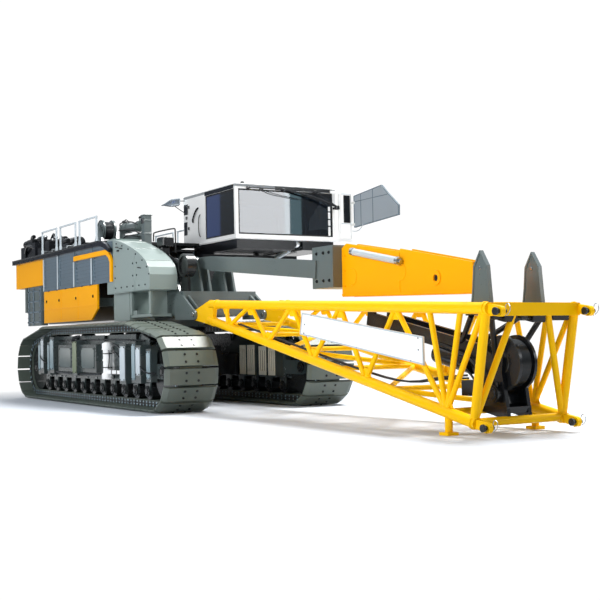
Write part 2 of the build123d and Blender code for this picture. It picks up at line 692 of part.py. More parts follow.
# Tilt cylinder under the cab: its rod's eye sits on the cab's pin
tiltFoot = Vector(tiltFootX, tiltY, tiltFootZ)
tiltAlong = Vector(tiltEyeX, tiltY, tiltEyeZ) - tiltFoot
tiltDir = tiltAlong.normalized()
tiltLong = tiltAlong.length
barrelLong = 1250
rodStart = 560


def onTilt(distance):
    return tuple(tiltFoot + tiltDir * distance)


barrelBody = rod(onTilt(0), onTilt(barrelLong), 85) - rod(onTilt(120), onTilt(barrelLong), 52)
barrelBody = barrelBody + acrossY(tiltFootX, tiltFootZ, tiltY - 60, tiltY + 60, 90)
tiltPinHalf = tiltSlotHalf - runningGap
tiltPin = acrossY(tiltFootX, tiltFootZ, tiltY - tiltPinHalf, tiltY + tiltPinHalf, 36)
write("tilt_barrel", barrelBody + tiltPin)
rodBody = rod(onTilt(rodStart), onTilt(tiltLong - 20), 52 - pinPlay)
rodEye = acrossY(tiltEyeX, tiltEyeZ, tiltY - 59.5, tiltY + 59.5, 75)
write("tilt_rod", rodBody + rodEye)


# Boom foot: four chords, lugs at both ends, lacing, end frame, feet, name board and winch
def boomRod(start, end, radius):
    return rod(boomPoint(*start), boomPoint(*end), radius)


def lowerChord(y):
    return boomRod((boomStart, y, 0), (boomLong, y, 0), chordR)


def upperChord(y):
    return boomRod((boomStart, y, boomStartHigh), (boomLong, y, boomHigh), chordR)


def footLug(y):
    half = lugThick / 2
    outline = [(0, -lugR), (boomStart, -chordR), (boomStart + 260, -chordR)]
    outline += [(boomStart + 260, boomStartHigh + 140), (boomStart, boomStartHigh + 120), (0, lugR)]
    points = [boomPoint(u, 0, v) for u, v in outline]
    body = plateXZ([(x, z) for x, _, z in points], y - half, y + half)
    body = body + acrossY(boomHingeX, boomHingeZ, y - half, y + half, lugR)
    return body - acrossY(boomHingeX, boomHingeZ, y - half, y + half, boomPinR + pinPlay)


endEyeReach = 300
endEyeR = 95
endBoreR = 45
endEyeThick = 90


def endEye(y, v):
    x, _, z = boomPoint(boomLong + endEyeReach, y, v)
    half = endEyeThick / 2
    outline = [(boomLong - 60, v - 80), (boomLong + endEyeReach, v - endEyeR)]
    outline += [(boomLong + endEyeReach, v + endEyeR), (boomLong - 60, v + 80)]
    points = [boomPoint(u, 0, w) for u, w in outline]
    body = plateXZ([(px, pz) for px, _, pz in points], y - half, y + half)
    body = body + acrossY(x, z, y - half, y + half, endEyeR)
    return body - acrossY(x, z, y - half, y + half, endBoreR)


lug = footLug(boomHalfY)
write("lower_chords", *bothSides([fused([lowerChord(boomHalfY) - lug, lug, endEye(boomHalfY, 0)])]))
write("upper_chords", *bothSides([fused([upperChord(boomHalfY), endEye(boomHalfY, boomHigh)]) - lug]))

# Lacing: nodes along the chords, as shares of the laced length, and the bars between them
laceStart = 1900
endBay = 900
lowerShares = (0, 0.233, 0.467, 0.7, 1)
upperShares = (-0.022, 0.122, 0.344, 0.567, 0.789)
flatShares = (-0.044, 0.122, 0.333, 0.567, 0.789, 1)


def laceAt(share):
    return laceStart + share * (boomLong - endBay - laceStart)


lowerNodes = [laceAt(share) for share in lowerShares]
upperNodes = [laceAt(share) for share in upperShares]
flatNodes = [laceAt(share) for share in flatShares]
fanTops = [boomLong - back for back in (1750, 800, 150)]
sideBars = [(lowerNodes[0], upperNodes[0])]
for bay, top in enumerate(upperNodes[1:]):
    sideBars += [(lowerNodes[bay], top), (lowerNodes[bay + 1], top)]
sideBars += [(lowerNodes[-1], top) for top in fanTops]


def sidePanel(y):
    bars = [boomRod((low, y, 0), (top, y, upperChordV(top)), laceR) for low, top in sideBars]
    bars.append(boomRod((boomLong - postR, y, 0), (boomLong - postR, y, boomHigh), postR))
    panel = fused(bars)
    chords = fused([lowerChord(y), upperChord(y)])
    return panel - chords - footLug(y) - endEye(y, 0) - endEye(y, boomHigh)


def flatPanel(height):
    bars = [boomRod((u, -boomHalfY, height(u)), (u, boomHalfY, height(u)), laceR) for u in flatNodes[:-1]]
    for number, (start, end) in enumerate(zip(flatNodes, flatNodes[1:])):
        side = boomHalfY if number % 2 else -boomHalfY
        bars.append(boomRod((start, side, height(start)), (end, -side, height(end)), laceR))
    panel = fused(bars)
    for y in (-boomHalfY, boomHalfY):
        panel = panel - lowerChord(y) - upperChord(y) - footLug(y)
    return panel


rightPanel = sidePanel(-boomHalfY)
leftPanel = sidePanel(boomHalfY)
write("side_lacing", rightPanel, leftPanel)

# End frame: cross tube below, box beam above, braces, and the ground feet under the lower chords
endU = boomLong - postR
beamHalf = 140
lowerCross = boomRod((endU, -boomHalfY, 0), (endU, boomHalfY, 0), 80)
rearCross = boomRod((lowerNodes[-1], -boomHalfY, 0), (lowerNodes[-1], boomHalfY, 0), 70)
x, _, z = boomPoint(endU, 0, boomHigh)
topBeam = block((x - beamHalf, x + beamHalf), (-boomHalfY, boomHalfY), (z - 150, z + 90))
braceTopY = 380
braces = [boomRod((endU, side * boomHalfY, 0), (endU, side * braceTopY, boomHigh), 62) for side in (-1, 1)]
for side in (-1, 1):
    ends = (lowerChord(side * boomHalfY), upperChord(side * boomHalfY))
    lowerCross = lowerCross - ends[0]
    rearCross = rearCross - ends[0]
    topBeam = topBeam - ends[1] - endEye(side * boomHalfY, boomHigh)
endFrame = fused([lowerCross, topBeam, *braces])
for y in (-boomHalfY, boomHalfY):
    endFrame = endFrame - lowerChord(y) - upperChord(y) - endEye(y, 0)
panels = fused([rightPanel, leftPanel])
rearCross = rearCross - panels
write("end_frame", endFrame - panels, rearCross)
write("bottom_lacing", flatPanel(lambda u: 0) - panels - rearCross)
topLacing = flatPanel(upperChordV) - panels
write("top_lacing", topLacing)

footU = boomLong - 850
footX, _, footZ = boomPoint(footU, 0, 0)
footPadHalf = 130


def groundFoot(y):
    leg = rod((footX, y, 40), (footX, y, footZ), 75)
    pad = block((footX - footPadHalf, footX + footPadHalf), (y - footPadHalf, y + footPadHalf), (0, 60))
    return fused([leg, pad]) - lowerChord(y)


write("boom_feet", *bothSides([groundFoot(boomHalfY) - panels - rearCross]))

boardY = -boomHalfY - chordR - 24
boardThick = 30
boardCorners = [(laceAt(0.419), 1010), (laceAt(0.915), 1300), (laceAt(0.928), 765), (laceAt(0.418), 510)]
boardPoints = [boomPoint(u, 0, v) for u, v in boardCorners]
board = plateXZ([(x, z) for x, _, z in boardPoints], boardY, boardY + boardThick)


def onSideBar(low, top, v):
    return low + (top - low) * v / upperChordV(top)


def boardStay(u, v):
    return boomRod((u, boardY + boardThick / 2, v), (u, -boomHalfY, v), 30)


stayBars = ((lowerNodes[2], upperNodes[3], 760), (lowerNodes[4], upperNodes[4], 1000))
boardStays = [boardStay(onSideBar(low, top, v), v) for low, top, v in stayBars]
write("name_board", fused([board, *boardStays]) - rightPanel)

# Winch in the boom's end: drum, the cradle that hangs from the lacing, and two rope horns on its legs
winchU = boomLong - 517
winchV = 989
winchX, _, winchZ = boomPoint(winchU, 0, winchV)
winchHalfY = 200
winchShaftR = 70
cradleY = (winchHalfY + 20, winchHalfY + 100)
write("boom_drum", drum(winchX, winchZ, winchHalfY, 330, 530, winchShaftR))
hangU = flatNodes[3]
hangV = upperChordV(hangU)
beamTopV = 1250
beamLowV = 950
rearTubeU = lowerNodes[-1]


def boomPlate(outline, y0, y1):
    points = [boomPoint(u, 0, v) for u, v in outline]
    return plateXZ([(x, z) for x, _, z in points], y0, y1)


cradleWeb = [(hangU - 70, beamLowV), (hangU - 70, beamTopV), (winchU - 560, beamTopV)]
cradleWeb += [(winchU - 170, winchV + 130), (winchU + 130, winchV + 130), (winchU + 140, winchV - 130)]
cradleWeb += [(endU + 40, 0), (rearTubeU - 80, 0), (rearTubeU - 120, 520), (winchU - 900, beamLowV)]
hanger = [(hangU - 70, hangV), (hangU + 70, hangV), (hangU + 170, beamTopV), (hangU - 70, beamTopV)]
cradlePieces = []
for side in (-1, 1):
    y0, y1 = sorted(side * y for y in cradleY)
    body = boomPlate(cradleWeb, y0, y1) + boomPlate(hanger, y0, y1)
    cradlePieces.append(body - acrossY(winchX, winchZ, y0, y1, winchShaftR + pinPlay))
plinth = [(rearTubeU + 60, 120), (endU - 40, 120), (endU - 40, 240), (rearTubeU + 60, 240)]
pedestal = [(winchU - 260, 200), (winchU + 160, 200), (winchU + 60, 400), (winchU - 180, 400)]
hangTie = [(hangU - 40, 1000), (hangU + 160, 1000), (hangU + 160, 1130), (hangU - 40, 1130)]
for outline in (plinth, pedestal, hangTie):
    cradlePieces.append(boomPlate(outline, -cradleY[1], cradleY[1]))
motorX, _, motorZ = boomPoint(winchU + 90, 0, 430)
cradlePieces.append(acrossY(motorX, motorZ, -460, -cradleY[0], 150))
cradlePieces.append(boomRod((winchU - 1900, -210, 800), (winchU - 800, -210, 800), 190))
cradlePieces.append(block((motorX - 900, motorX - 500), (-430, -cradleY[0]), (motorZ - 60, motorZ + 240)))

# Horns: pointed plates over the drum, each on a cap and two legs that stand on the cradle's beams
hornX = 16110
hornY = 635
hornThick = 70
hornTipZ = 3450
hornBaseZ = 2300
hornFace = [(-300, hornBaseZ), (280, hornBaseZ), (230, 2750), (190, hornTipZ - 290), (0, hornTipZ)]
hornFace += [(-190, hornTipZ - 290), (-230, 2750)]
hornCap = (-390, 300, 60)
hornLegs = ((-330, winchU - 1140, beamTopV - 60), (240, winchU - 120, winchV + 100))
for side in (-1, 1):
    y0, y1 = sorted((side * (hornY - 90), side * (hornY + 90)))
    cap = block((hornX + hornCap[0], hornX + hornCap[1]), (y0, y1), (hornBaseZ - hornCap[2], hornBaseZ))
    cradlePieces.append(cap)
    for dx, footU2, footV in hornLegs:
        top = Vector(hornX + dx, side * hornY, hornBaseZ - 64)
        foot = boomPoint(footU2, side * (cradleY[0] + 40), footV)
        cradlePieces.append(rod(tuple(top), foot, 55))
hangBar = boomRod((hangU, -boomHalfY, hangV), (hangU, boomHalfY, hangV), laceR)
write("winch_cradle", fused(cradlePieces) - endFrame - rearCross - hangBar - topLacing)


def ropeHorn():
    return plateXZ([(hornX + dx, z) for dx, z in hornFace], hornY - hornThick / 2, hornY + hornThick / 2)


write("rope_horns", *bothSides([ropeHorn()]))

# A-frame: legs from the hinge, tapered side plates at the head, cross tubes and sheaves
legBlockX = (9700, aHeadRearX)
legBlockZ = (3030, 4010)
legEndX = legBlockX[0] + 200
legEndZ = 3480
legSlope = atan2(legEndZ - aHingeZ, legEndX - aHingeX)
sheaveX = 14150
sheaveZ = 3050
sheaveR = 310
sheaveHalf = 30
sheaveYs = (-80, 0, 80)
sheaveShaftR = 70


def aLeg():
    y0, y1 = aLegHalfY - aLegThick / 2, aLegHalfY + aLegThick / 2
    dx = -sin(legSlope) * aLegDeep / 2
    dz = cos(legSlope) * aLegDeep / 2
    web = [(aHingeX + 60, aHingeZ - 130), (aHingeX + 900, aHingeZ - 300), (legEndX - dx, legEndZ - dz)]
    web += [(legEndX + dx, legEndZ + dz), (aHingeX + 900, aHingeZ + 110), (aHingeX + 60, aHingeZ + 130)]
    body = plateXZ(web, y0, y1) + acrossY(aHingeX, aHingeZ, y0, y1, 140)
    return body - acrossY(aHingeX, aHingeZ, y0, y1, aPinR + pinPlay)


legTie = acrossY(6800, 3775, aLegThick / 2 - aLegHalfY, aLegHalfY - aLegThick / 2, 120)
legBlock = block(legBlockX, (-aLegHalfY - 60, aLegHalfY + 60), legBlockZ)
write("a_frame_legs", fused([*bothSides([aLeg()]), legTie, legBlock]))


def aPlate():
    stepX = aHeadRearX + 2260
    outline = [(aHeadRearX, 2810), (aHeadRearX, 3930), (aHeadRearX + 190, 4030), (stepX, 3690)]
    outline += [(stepX + 50, 3745), (aHeadFrontX, 3300), (aHeadFrontX, 2680)]
    return plateXZ(outline, aPlateHalfY - aPlateThick, aPlateHalfY)


innerHalfY = aPlateHalfY - aPlateThick
headTies = [acrossY(aHeadRearX + ahead, 3250, -innerHalfY, innerHalfY, 200) for ahead in (420, 2300)]
sheaveBore = acrossY(sheaveX, sheaveZ, -aPlateHalfY, aPlateHalfY, sheaveShaftR + pinPlay)
write("a_frame_head", fused([*bothSides([aPlate()]), *headTies]) - sheaveBore)
sheaveShaft = acrossY(sheaveX, sheaveZ, -aPlateHalfY, aPlateHalfY, sheaveShaftR)
sheaves = [acrossY(sheaveX, sheaveZ, y - sheaveHalf, y + sheaveHalf, sheaveR) for y in sheaveYs]
hub = acrossY(sheaveX, sheaveZ, 5 - innerHalfY, innerHalfY - 5, 120)
write("a_frame_sheaves", fused([sheaveShaft, hub, *sheaves]))
pendantR = 78
pendantY = -aPlateHalfY - pendantR
pendantStart = (aHeadRearX + 640, 3800)
pendantEnd = (aHeadRearX + 2280, 3490)
pendantEnds = [(x, pendantY, z) for x, z in (pendantStart, pendantEnd)]
pendant = rod(*pendantEnds, pendantR)
pendantSeats = []
for share in (0.12, 0.88):
    x, z = (a + (b - a) * share for a, b in zip(pendantStart, pendantEnd))
    pendantSeats.append(block((x - 60, x + 60), (pendantY, -aPlateHalfY), (z - 60, z + 60)))
write("pendant_rod", fused([pendant, *pendantSeats]))
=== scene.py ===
import math
import bpy
import bmesh
from mathutils import Matrix, Vector


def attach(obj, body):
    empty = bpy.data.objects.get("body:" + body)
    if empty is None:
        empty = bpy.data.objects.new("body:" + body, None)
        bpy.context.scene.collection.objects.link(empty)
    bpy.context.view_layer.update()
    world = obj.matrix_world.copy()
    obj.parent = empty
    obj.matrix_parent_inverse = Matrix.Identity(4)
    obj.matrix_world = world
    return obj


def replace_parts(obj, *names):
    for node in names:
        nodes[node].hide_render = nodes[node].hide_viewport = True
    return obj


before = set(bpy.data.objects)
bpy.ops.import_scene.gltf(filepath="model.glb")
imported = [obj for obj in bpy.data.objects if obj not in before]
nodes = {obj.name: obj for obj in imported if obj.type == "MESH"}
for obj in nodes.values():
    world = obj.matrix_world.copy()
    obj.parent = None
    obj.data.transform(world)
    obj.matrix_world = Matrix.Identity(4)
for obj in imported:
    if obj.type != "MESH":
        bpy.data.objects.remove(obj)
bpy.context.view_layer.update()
print("stage: frame loaded")


# Camera, floor and light

cameraSetup = {
    "place": (32.13, -14.03, 1.86),
    "yaw": 0.533,  # turned from looking along -X towards +Y
    "pitch": 0.035,
    "roll": -0.018,
    "lens": 66.4,
}


def makeCamera(setup):
    yaw, pitch, roll = setup["yaw"], setup["pitch"], setup["roll"]
    ahead = Vector((-math.cos(yaw) * math.cos(pitch), math.sin(yaw) * math.cos(pitch), math.sin(pitch)))
    right = ahead.cross(Vector((0, 0, 1))).normalized()
    up = right.cross(ahead)
    side = right * math.cos(roll) + up * math.sin(roll)
    top = up * math.cos(roll) - right * math.sin(roll)
    camera = bpy.data.objects.new("camera", bpy.data.cameras.new("camera"))
    camera.data.lens = setup["lens"]
    camera.data.sensor_width = 36
    camera.data.clip_end = 500
    camera.matrix_world = Matrix((side, top, -ahead)).transposed().to_4x4()
    camera.matrix_world.translation = setup["place"]
    bpy.context.scene.collection.objects.link(camera)
    bpy.context.scene.camera = camera


lights = {
    # name: place, aimed at, width, height, watts, colour; the panes mirror the two "sky" lamps and "blueSide"
    "overhead": ((9, 19, 46), (5, -1, 0), 18, 14, 43000, (1, 0.99, 0.97)),
    "wideTop": ((0, -8, 26), (3, -1, 0), 26, 16, 1500, (0.96, 0.98, 1)),
    "skyFront": ((30, 16.6, 9.7), (3, 1, 5), 4.6, 5.6, 620, (0.97, 0.985, 1)),
    "skyEdge": ((30, 19.5, 9.0), (3, 1, 5), 1.0, 5.5, 24, (0.5, 0.85, 0.95)),
    "blueSide": ((-64.6, -30, 13), (1, 1, 5.5), 2.6, 11, 60, (0.22, 0.36, 1)),
    "nearSide": ((14, -26, 11), (2, 0, 2.5), 12, 6, 4600, (0.99, 0.995, 1)),
    "rearSide": ((-24, 10, 12), (0, 0, 3), 12, 8, 1500, (1, 1, 1)),
}
studio = {
    "floorHalf": 260, "floorDrop": 0.002, "floorColour": (0.60, 0.64, 0.70, 1), "floorRough": 0.6,
    "fadeCentre": (5, 0, 0), "fade": (9.0, 19.0),
    "skySeen": 1.04, "skyLight": 0.21, "skyColour": (0.86, 0.93, 1, 1),
    "mirrored": (0.10, 1.15), "mirroredFrom": (-0.05, 0.75),
}


def makeLamps(lamps):
    for name, (place, aim, wide, high, watts, colour) in lamps.items():
        lamp = bpy.data.lights.new(name, "AREA")
        lamp.shape = "RECTANGLE"
        lamp.size, lamp.size_y, lamp.energy, lamp.color = wide, high, watts, colour
        holder = bpy.data.objects.new(name, lamp)
        holder.location = place
        holder.rotation_euler = (Vector(aim) - Vector(place)).to_track_quat("-Z", "Y").to_euler()
        bpy.context.scene.collection.objects.link(holder)


def addNode(tree, kind, sockets=None, **settings):
    # settings come first, then each socket gets a link or a plain value
    node = tree.nodes.new("ShaderNode" + kind)
    for name, value in settings.items():
        setattr(node, name, value)
    for name, value in (sockets or {}).items():
        if isinstance(value, bpy.types.NodeSocket):
            tree.links.new(value, node.inputs[name])
        else:
            node.inputs[name].default_value = value
    return node


def ranged(tree, value, limits, reach=(0, 1), kind="LINEAR"):
    sockets = {"Value": value, "From Min": limits[0], "From Max": limits[1], "To Min": reach[0], "To Max": reach[1]}
    return addNode(tree, "MapRange", sockets, interpolation_type=kind).outputs[0]


def mixed(tree, share, one, two):
    return addNode(tree, "MixShader", {0: share, 1: one.outputs[0], 2: two.outputs[0]})


def newMaterial(name):
    material = bpy.data.materials.new(name)
    material.use_nodes = True
    return material, material.node_tree, material.node_tree.nodes["Principled BSDF"]


def makeSky(setup):
    world = bpy.data.worlds.new("studio")
    bpy.context.scene.world = world
    world.use_nodes = True
    tree = world.node_tree
    light = tree.nodes["Background"]
    light.inputs["Color"].default_value = setup["skyColour"]
    light.inputs["Strength"].default_value = setup["skyLight"]
    seen = addNode(tree, "Background", {"Color": (1, 1, 1, 1), "Strength": setup["skySeen"]})
    # shiny faces mirror a sky that is dark at the horizon and bright overhead
    place = addNode(tree, "TexCoord").outputs["Generated"]
    climb = ranged(tree, addNode(tree, "SeparateXYZ", {0: place}).outputs["Z"], setup["mirroredFrom"],
                   setup["mirrored"], "SMOOTHSTEP")
    mirrored = addNode(tree, "Background", {"Color": setup["skyColour"], "Strength": climb})
    rays = addNode(tree, "LightPath").outputs
    unseen = mixed(tree, rays["Is Glossy Ray"], light, mirrored)
    sky = mixed(tree, rays["Is Camera Ray"], unseen, seen)
    tree.links.new(sky.outputs[0], tree.nodes["World Output"].inputs["Surface"])


def makeFloor(setup):
    bpy.ops.object.select_all(action="DESELECT")
    bpy.ops.mesh.primitive_plane_add(size=2 * setup["floorHalf"], location=(0, 0, -setup["floorDrop"]))
    ground = bpy.context.object
    ground.name = "floor"
    paint, tree, shader = newMaterial("floorPale")
    shader.inputs["Base Color"].default_value = setup["floorColour"]
    shader.inputs["Roughness"].default_value = setup["floorRough"]
    # far from the crane the floor turns into the white of the backdrop
    place = addNode(tree, "TexCoord").outputs["Object"]
    away = addNode(tree, "VectorMath", {0: place, 1: setup["fadeCentre"]}, operation="DISTANCE").outputs["Value"]
    white = addNode(tree, "Emission", {"Strength": setup["skySeen"]})
    faded = mixed(tree, ranged(tree, away, setup["fade"], kind="SMOOTHSTEP"), shader, white)
    tree.links.new(faded.outputs[0], tree.nodes["Material Output"].inputs["Surface"])
    ground.data.materials.append(paint)


makeCamera(cameraSetup)
makeLamps(lights)
makeSky(studio)
makeFloor(studio)
bpy.context.scene.view_settings.view_transform = "Standard"
bpy.context.scene.view_settings.look = "None"
print("stage: studio ready")


# Finishes: one shared effect, then one material for each finish

finishes = {
    # name: colour, metallic, roughness, bump, grime, edge wear, specular level
    "orangePaint": ((1.0, 0.43, 0.001), 0.0, 0.30, 0.0, 0.02, 0.10, 0.10),
    "boomPaint": ((1.0, 0.56, 0.002), 0.0, 0.30, 0.0, 0.02, 0.10, 0.10),
    "greyPaint": ((0.105, 0.134, 0.134), 0.0, 0.28, 0.0, 0.15, 0.40, 0.8),
    # the housing's lighter grey is a painted sheen: the sky's reflection on its rounded top, put into the colour
    "housingSheenGrey": ((0.26, 0.32, 0.305), 0.0, 0.30, 0.0, 0.06, 0.25, 0.6),
    # near-black copy of the grey paint for the side frames: painted shade of their place under the upper track run and
    # the house
    "frameShadedGrey": ((0.040, 0.054, 0.055), 0.0, 0.26, 0.0, 0.20, 0.5, 0.7),
    "coverPaint": ((0.24, 0.33, 0.37), 0.0, 0.24, 0.01, 0.15, 0.35, 0.8),
    "louvrePaint": ((0.125, 0.175, 0.215), 0.0, 0.22, 0.02, 0.12, 0.30, 0.9),
    "darkPaint": ((0.006, 0.007, 0.009), 0.0, 0.24, 0.02, 0.03, 0.15, 0.35),
    "whitePaint": ((0.94, 0.945, 0.94), 0.0, 0.30, 0.0, 0.0, 0.0, 0.4),
    # the cab roof is white like the shell; its grey is a painted shade that keeps the near overhead lamp from blowing
    # it out
    "roofShadedWhite": ((0.36, 0.38, 0.40), 0.0, 0.40, 0.0, 0.05, 0.0, 0.4),
    "shoeSteel": ((0.085, 0.106, 0.088), 0.05, 0.42, 0.03, 0.15, 0.5, 0.55),
    "linkSteel": ((0.009, 0.010, 0.010), 0.2, 0.30, 0.06, 0.05, 0.4, 0.4),
    "darkSteel": ((0.016, 0.018, 0.019), 0.3, 0.26, 0.04, 0.05, 0.35, 0.5),
    "pinSteel": ((0.42, 0.44, 0.45), 1.0, 0.24, 0.03, 0.10, 0.3, 0.5),
    "railPaint": ((0.52, 0.58, 0.62), 0.0, 0.32, 0.05, 0.15, 0.15, 0.5),
    "creamPaint": ((0.62, 0.60, 0.50), 0.0, 0.40, 0.10, 0.35, 0.3, 0.5),
    "chrome": ((0.78, 0.80, 0.82), 1.0, 0.12, 0.02, 0.05, 0.0, 0.5),
    "rubber": ((0.010, 0.010, 0.011), 0.0, 0.50, 0.05, 0.05, 0.0, 0.4),
    "olivePaint": ((0.19, 0.23, 0.14), 0.0, 0.36, 0.12, 0.40, 0.40, 0.5),
    "mirrorFace": ((0.55, 0.62, 0.68), 0.8, 0.12, 0.02, 0.0, 0.0, 0.5),
    "meshPaint": ((0.36, 0.41, 0.46), 0.0, 0.40, 0.9, 0.05, 0.0, 0.5),
    "seatCloth": ((0.02, 0.021, 0.024), 0.0, 0.8, 0.4, 0.1, 0.0, 0.5),
}
glassSetup = {"Base Color": (0.035, 0.055, 0.085, 1), "Roughness": 0.02, "IOR": 1.75, "Transmission Weight": 0.9}
wear = {
    "noise": ((0.9, 6), (14, 5)),  # scale and detail of the cloud and of the fine grain
    "dustColour": (0.30, 0.28, 0.25, 1), "dustHeight": (3.2, 0.0), "dustReach": (0.35, 1.0), "cloudPeaks": (0.45, 0.75),
    "edgeRadius": 0.018, "edgeTurn": (0.97, 0.80), "edgeBreak": (0.42, 0.62), "edgeTone": (0.55, 0.03),
    "dustRough": 0.35, "fineRough": 0.04, "roughShift": -0.02, "relief": 0.004,
}
groupSockets = (("Colour", "Color", "INPUT"), ("Worn Colour", "Color", "INPUT"), ("Rough", "Float", "INPUT"),
                ("Grime", "Float", "INPUT"), ("Wear", "Float", "INPUT"), ("Colour", "Color", "OUTPUT"),
                ("Rough", "Float", "OUTPUT"), ("Height", "Float", "OUTPUT"))


def effectGroup(setup):
    group = bpy.data.node_groups.new("weather", "ShaderNodeTree")
    for name, kind, way in groupSockets:
        group.interface.new_socket(name=name, in_out=way, socket_type="NodeSocket" + kind)
    given = group.nodes.new("NodeGroupInput").outputs
    end = group.nodes.new("NodeGroupOutput").inputs

    def maths(operation, *values):
        return addNode(group, "Math", dict(enumerate(values)), operation=operation).outputs[0]

    def blended(share, one, two):
        return addNode(group, "Mix", {"Factor": share, "A": one, "B": two}, data_type="RGBA").outputs["Result"]

    place = addNode(group, "TexCoord").outputs["Object"]
    cloud, fine = [addNode(group, "TexNoise", {"Vector": place, "Scale": scale, "Detail": detail}).outputs["Fac"]
                   for scale, detail in setup["noise"]]
    # dust gathers low down and in the cloud's peaks
    height = addNode(group, "SeparateXYZ", {0: place}).outputs["Z"]
    low = ranged(group, height, setup["dustHeight"], setup["dustReach"])
    dust = maths("MULTIPLY", maths("MULTIPLY", low, ranged(group, cloud, setup["cloudPeaks"])), given["Grime"])
    dusty = blended(dust, given["Colour"], setup["dustColour"])
    # worn edges: where a rounded normal leaves the true one, broken up by the fine grain
    soft = addNode(group, "Bevel", {"Radius": setup["edgeRadius"]}, samples=4).outputs[0]
    true = addNode(group, "NewGeometry").outputs["Normal"]
    turned = addNode(group, "VectorMath", {0: soft, 1: true}, operation="DOT_PRODUCT").outputs["Value"]
    edge = maths("MULTIPLY", ranged(group, turned, setup["edgeTurn"]), ranged(group, fine, setup["edgeBreak"]))
    worn = maths("MULTIPLY", edge, given["Wear"])
    rough = maths("MULTIPLY_ADD", dust, setup["dustRough"], given["Rough"])
    results = {"Colour": blended(worn, dusty, given["Worn Colour"]),
               "Rough": maths("MULTIPLY_ADD", fine, setup["fineRough"], rough), "Height": fine}
    for name, value in results.items():
        group.links.new(value, end[name])
    return group


weather = effectGroup(wear)


def makeFinish(name):
    colour, metallic, rough, bump, grime, edge, level = finishes[name]
    material, tree, shader = newMaterial(name)
    shader.inputs["Metallic"].default_value = metallic
    shader.inputs["Specular IOR Level"].default_value = level
    share, lift = wear["edgeTone"]
    effect = addNode(tree, "Group", {
        "Colour": (*colour, 1), "Worn Colour": (*[share * part + lift for part in colour], 1),
        "Rough": rough + wear["roughShift"], "Grime": grime, "Wear": edge}, node_tree=weather).outputs
    relief = addNode(tree, "Bump", {"Strength": bump, "Distance": wear["relief"], "Height": effect["Height"]})
    for socket, value in (("Base Color", effect["Colour"]), ("Roughness", effect["Rough"]),
                          ("Normal", relief.outputs["Normal"])):
        tree.links.new(value, shader.inputs[socket])
    return material


def makeGlass():
    material, tree, shader = newMaterial("tintedGlass")
    for socket, value in glassSetup.items():
        shader.inputs[socket].default_value = value
    return material


paints = {name: makeFinish(name) for name in finishes}
paints["tintedGlass"] = makeGlass()

nodeFinishes = {
    "shoeSteel": "track_left track_right", "frameShadedGrey": "side_frames", "housingSheenGrey": "front_housing",
    "darkSteel": "track_wheels slewing_ring a_frame_sheaves", "pinSteel": "hinge_pins", "chrome": "tilt_rod",
    "whitePaint": "support_jacks cab_floor cab_shell cab_door front_catwalk name_board", "roofShadedWhite": "cab_roof",
    "darkPaint": "carbody engine_block deck deck_equipment cab_carrier front_drum cab_brackets cab_fittings "
                 "winch_cradle boom_drum",
    "greyPaint": "revolving_frame front_column winch_stands deck_drum rope_horns a_frame_legs",
    "louvrePaint": "louvre_panels", "orangePaint": "lower_panels rear_panels a_frame_head",
    "railPaint": "handrails tilt_barrel pendant_rod", "tintedGlass": "cab_glass cab_door_glass",
    "seatCloth": "cab_seat",
    "boomPaint": "lower_chords upper_chords side_lacing bottom_lacing top_lacing end_frame boom_feet",
}


def paintNodes():
    for finish, names in nodeFinishes.items():
        for name in names.split():
            mesh = nodes[name].data
            if not mesh.materials:
                mesh.materials.append(None)
            for index in range(len(mesh.materials)):
                mesh.materials[index] = paints[finish]


paintNodes()
print("stage: finishes ready")


# Modelling: starts, edits, copies and the last step of each piece

ways = (-1, 1)


def clearSelection():
    if bpy.context.object and bpy.context.object.mode != "OBJECT":
        bpy.ops.object.mode_set(mode="OBJECT")
    bpy.ops.object.select_all(action="DESELECT")


def makeActive(piece):
    clearSelection()
    piece.select_set(True)
    bpy.context.view_layer.objects.active = piece


def applyPlace():
    bpy.ops.object.transform_apply(location=True, rotation=True, scale=True)


def editAll():
    bpy.ops.object.mode_set(mode="EDIT")
    bpy.ops.mesh.select_all(action="SELECT")


def leaveOutward():
    bpy.ops.mesh.normals_make_consistent(inside=False)
    bpy.ops.object.mode_set(mode="OBJECT")
    return bpy.context.object


def startBlock(one, two, edge=0.0, segments=1):
    # any two opposite corners
    clearSelection()
    low, high = [Vector([pick(pair) for pair in zip(one, two)]) for pick in (min, max)]
    bpy.ops.mesh.primitive_cube_add(size=1, location=(low + high) / 2)
    piece = bpy.context.object
    piece.scale = high - low
    applyPlace()
    return roundEdges(piece, edge, segments) if edge else piece


def startRound(start, end, radius, sides=16, edge=0.0):
    clearSelection()
    start, end = Vector(start), Vector(end)
    along = end - start
    bpy.ops.mesh.primitive_cone_add(vertices=sides, radius1=radius, radius2=radius, depth=along.length,
                                    location=(start + end) / 2, rotation=along.to_track_quat("Z", "Y").to_euler())
    applyPlace()
    piece = bpy.context.object
    return roundEdges(piece, edge, 1, 60) if edge else piece


def startPlate(outline, thick):
    clearSelection()
    bpy.ops.mesh.primitive_circle_add(vertices=len(outline), radius=1, fill_type="NGON")
    for vertex, point in zip(bpy.context.object.data.vertices, outline):
        vertex.co = point
    editAll()
    bpy.ops.mesh.extrude_region_move(TRANSFORM_OT_translate={"value": thick})
    bpy.ops.mesh.select_all(action="SELECT")
    return leaveOutward()


def startPipe(points, radius, round=2, smooth=True):
    clearSelection()
    line = bpy.data.curves.new("pipe", "CURVE")
    line.dimensions = "3D"
    line.bevel_depth, line.bevel_resolution, line.use_fill_caps, line.resolution_u = radius, round, True, 3
    spline = line.splines.new("NURBS" if smooth else "POLY")
    spline.points.add(len(points) - 1)
    for spot, point in zip(spline.points, points):
        spot.co = (*point, 1)
    spline.order_u, spline.use_endpoint_u = 3, True
    piece = bpy.data.objects.new("pipe", line)
    bpy.context.scene.collection.objects.link(piece)
    makeActive(piece)
    bpy.ops.object.convert(target="MESH")
    return bpy.context.object


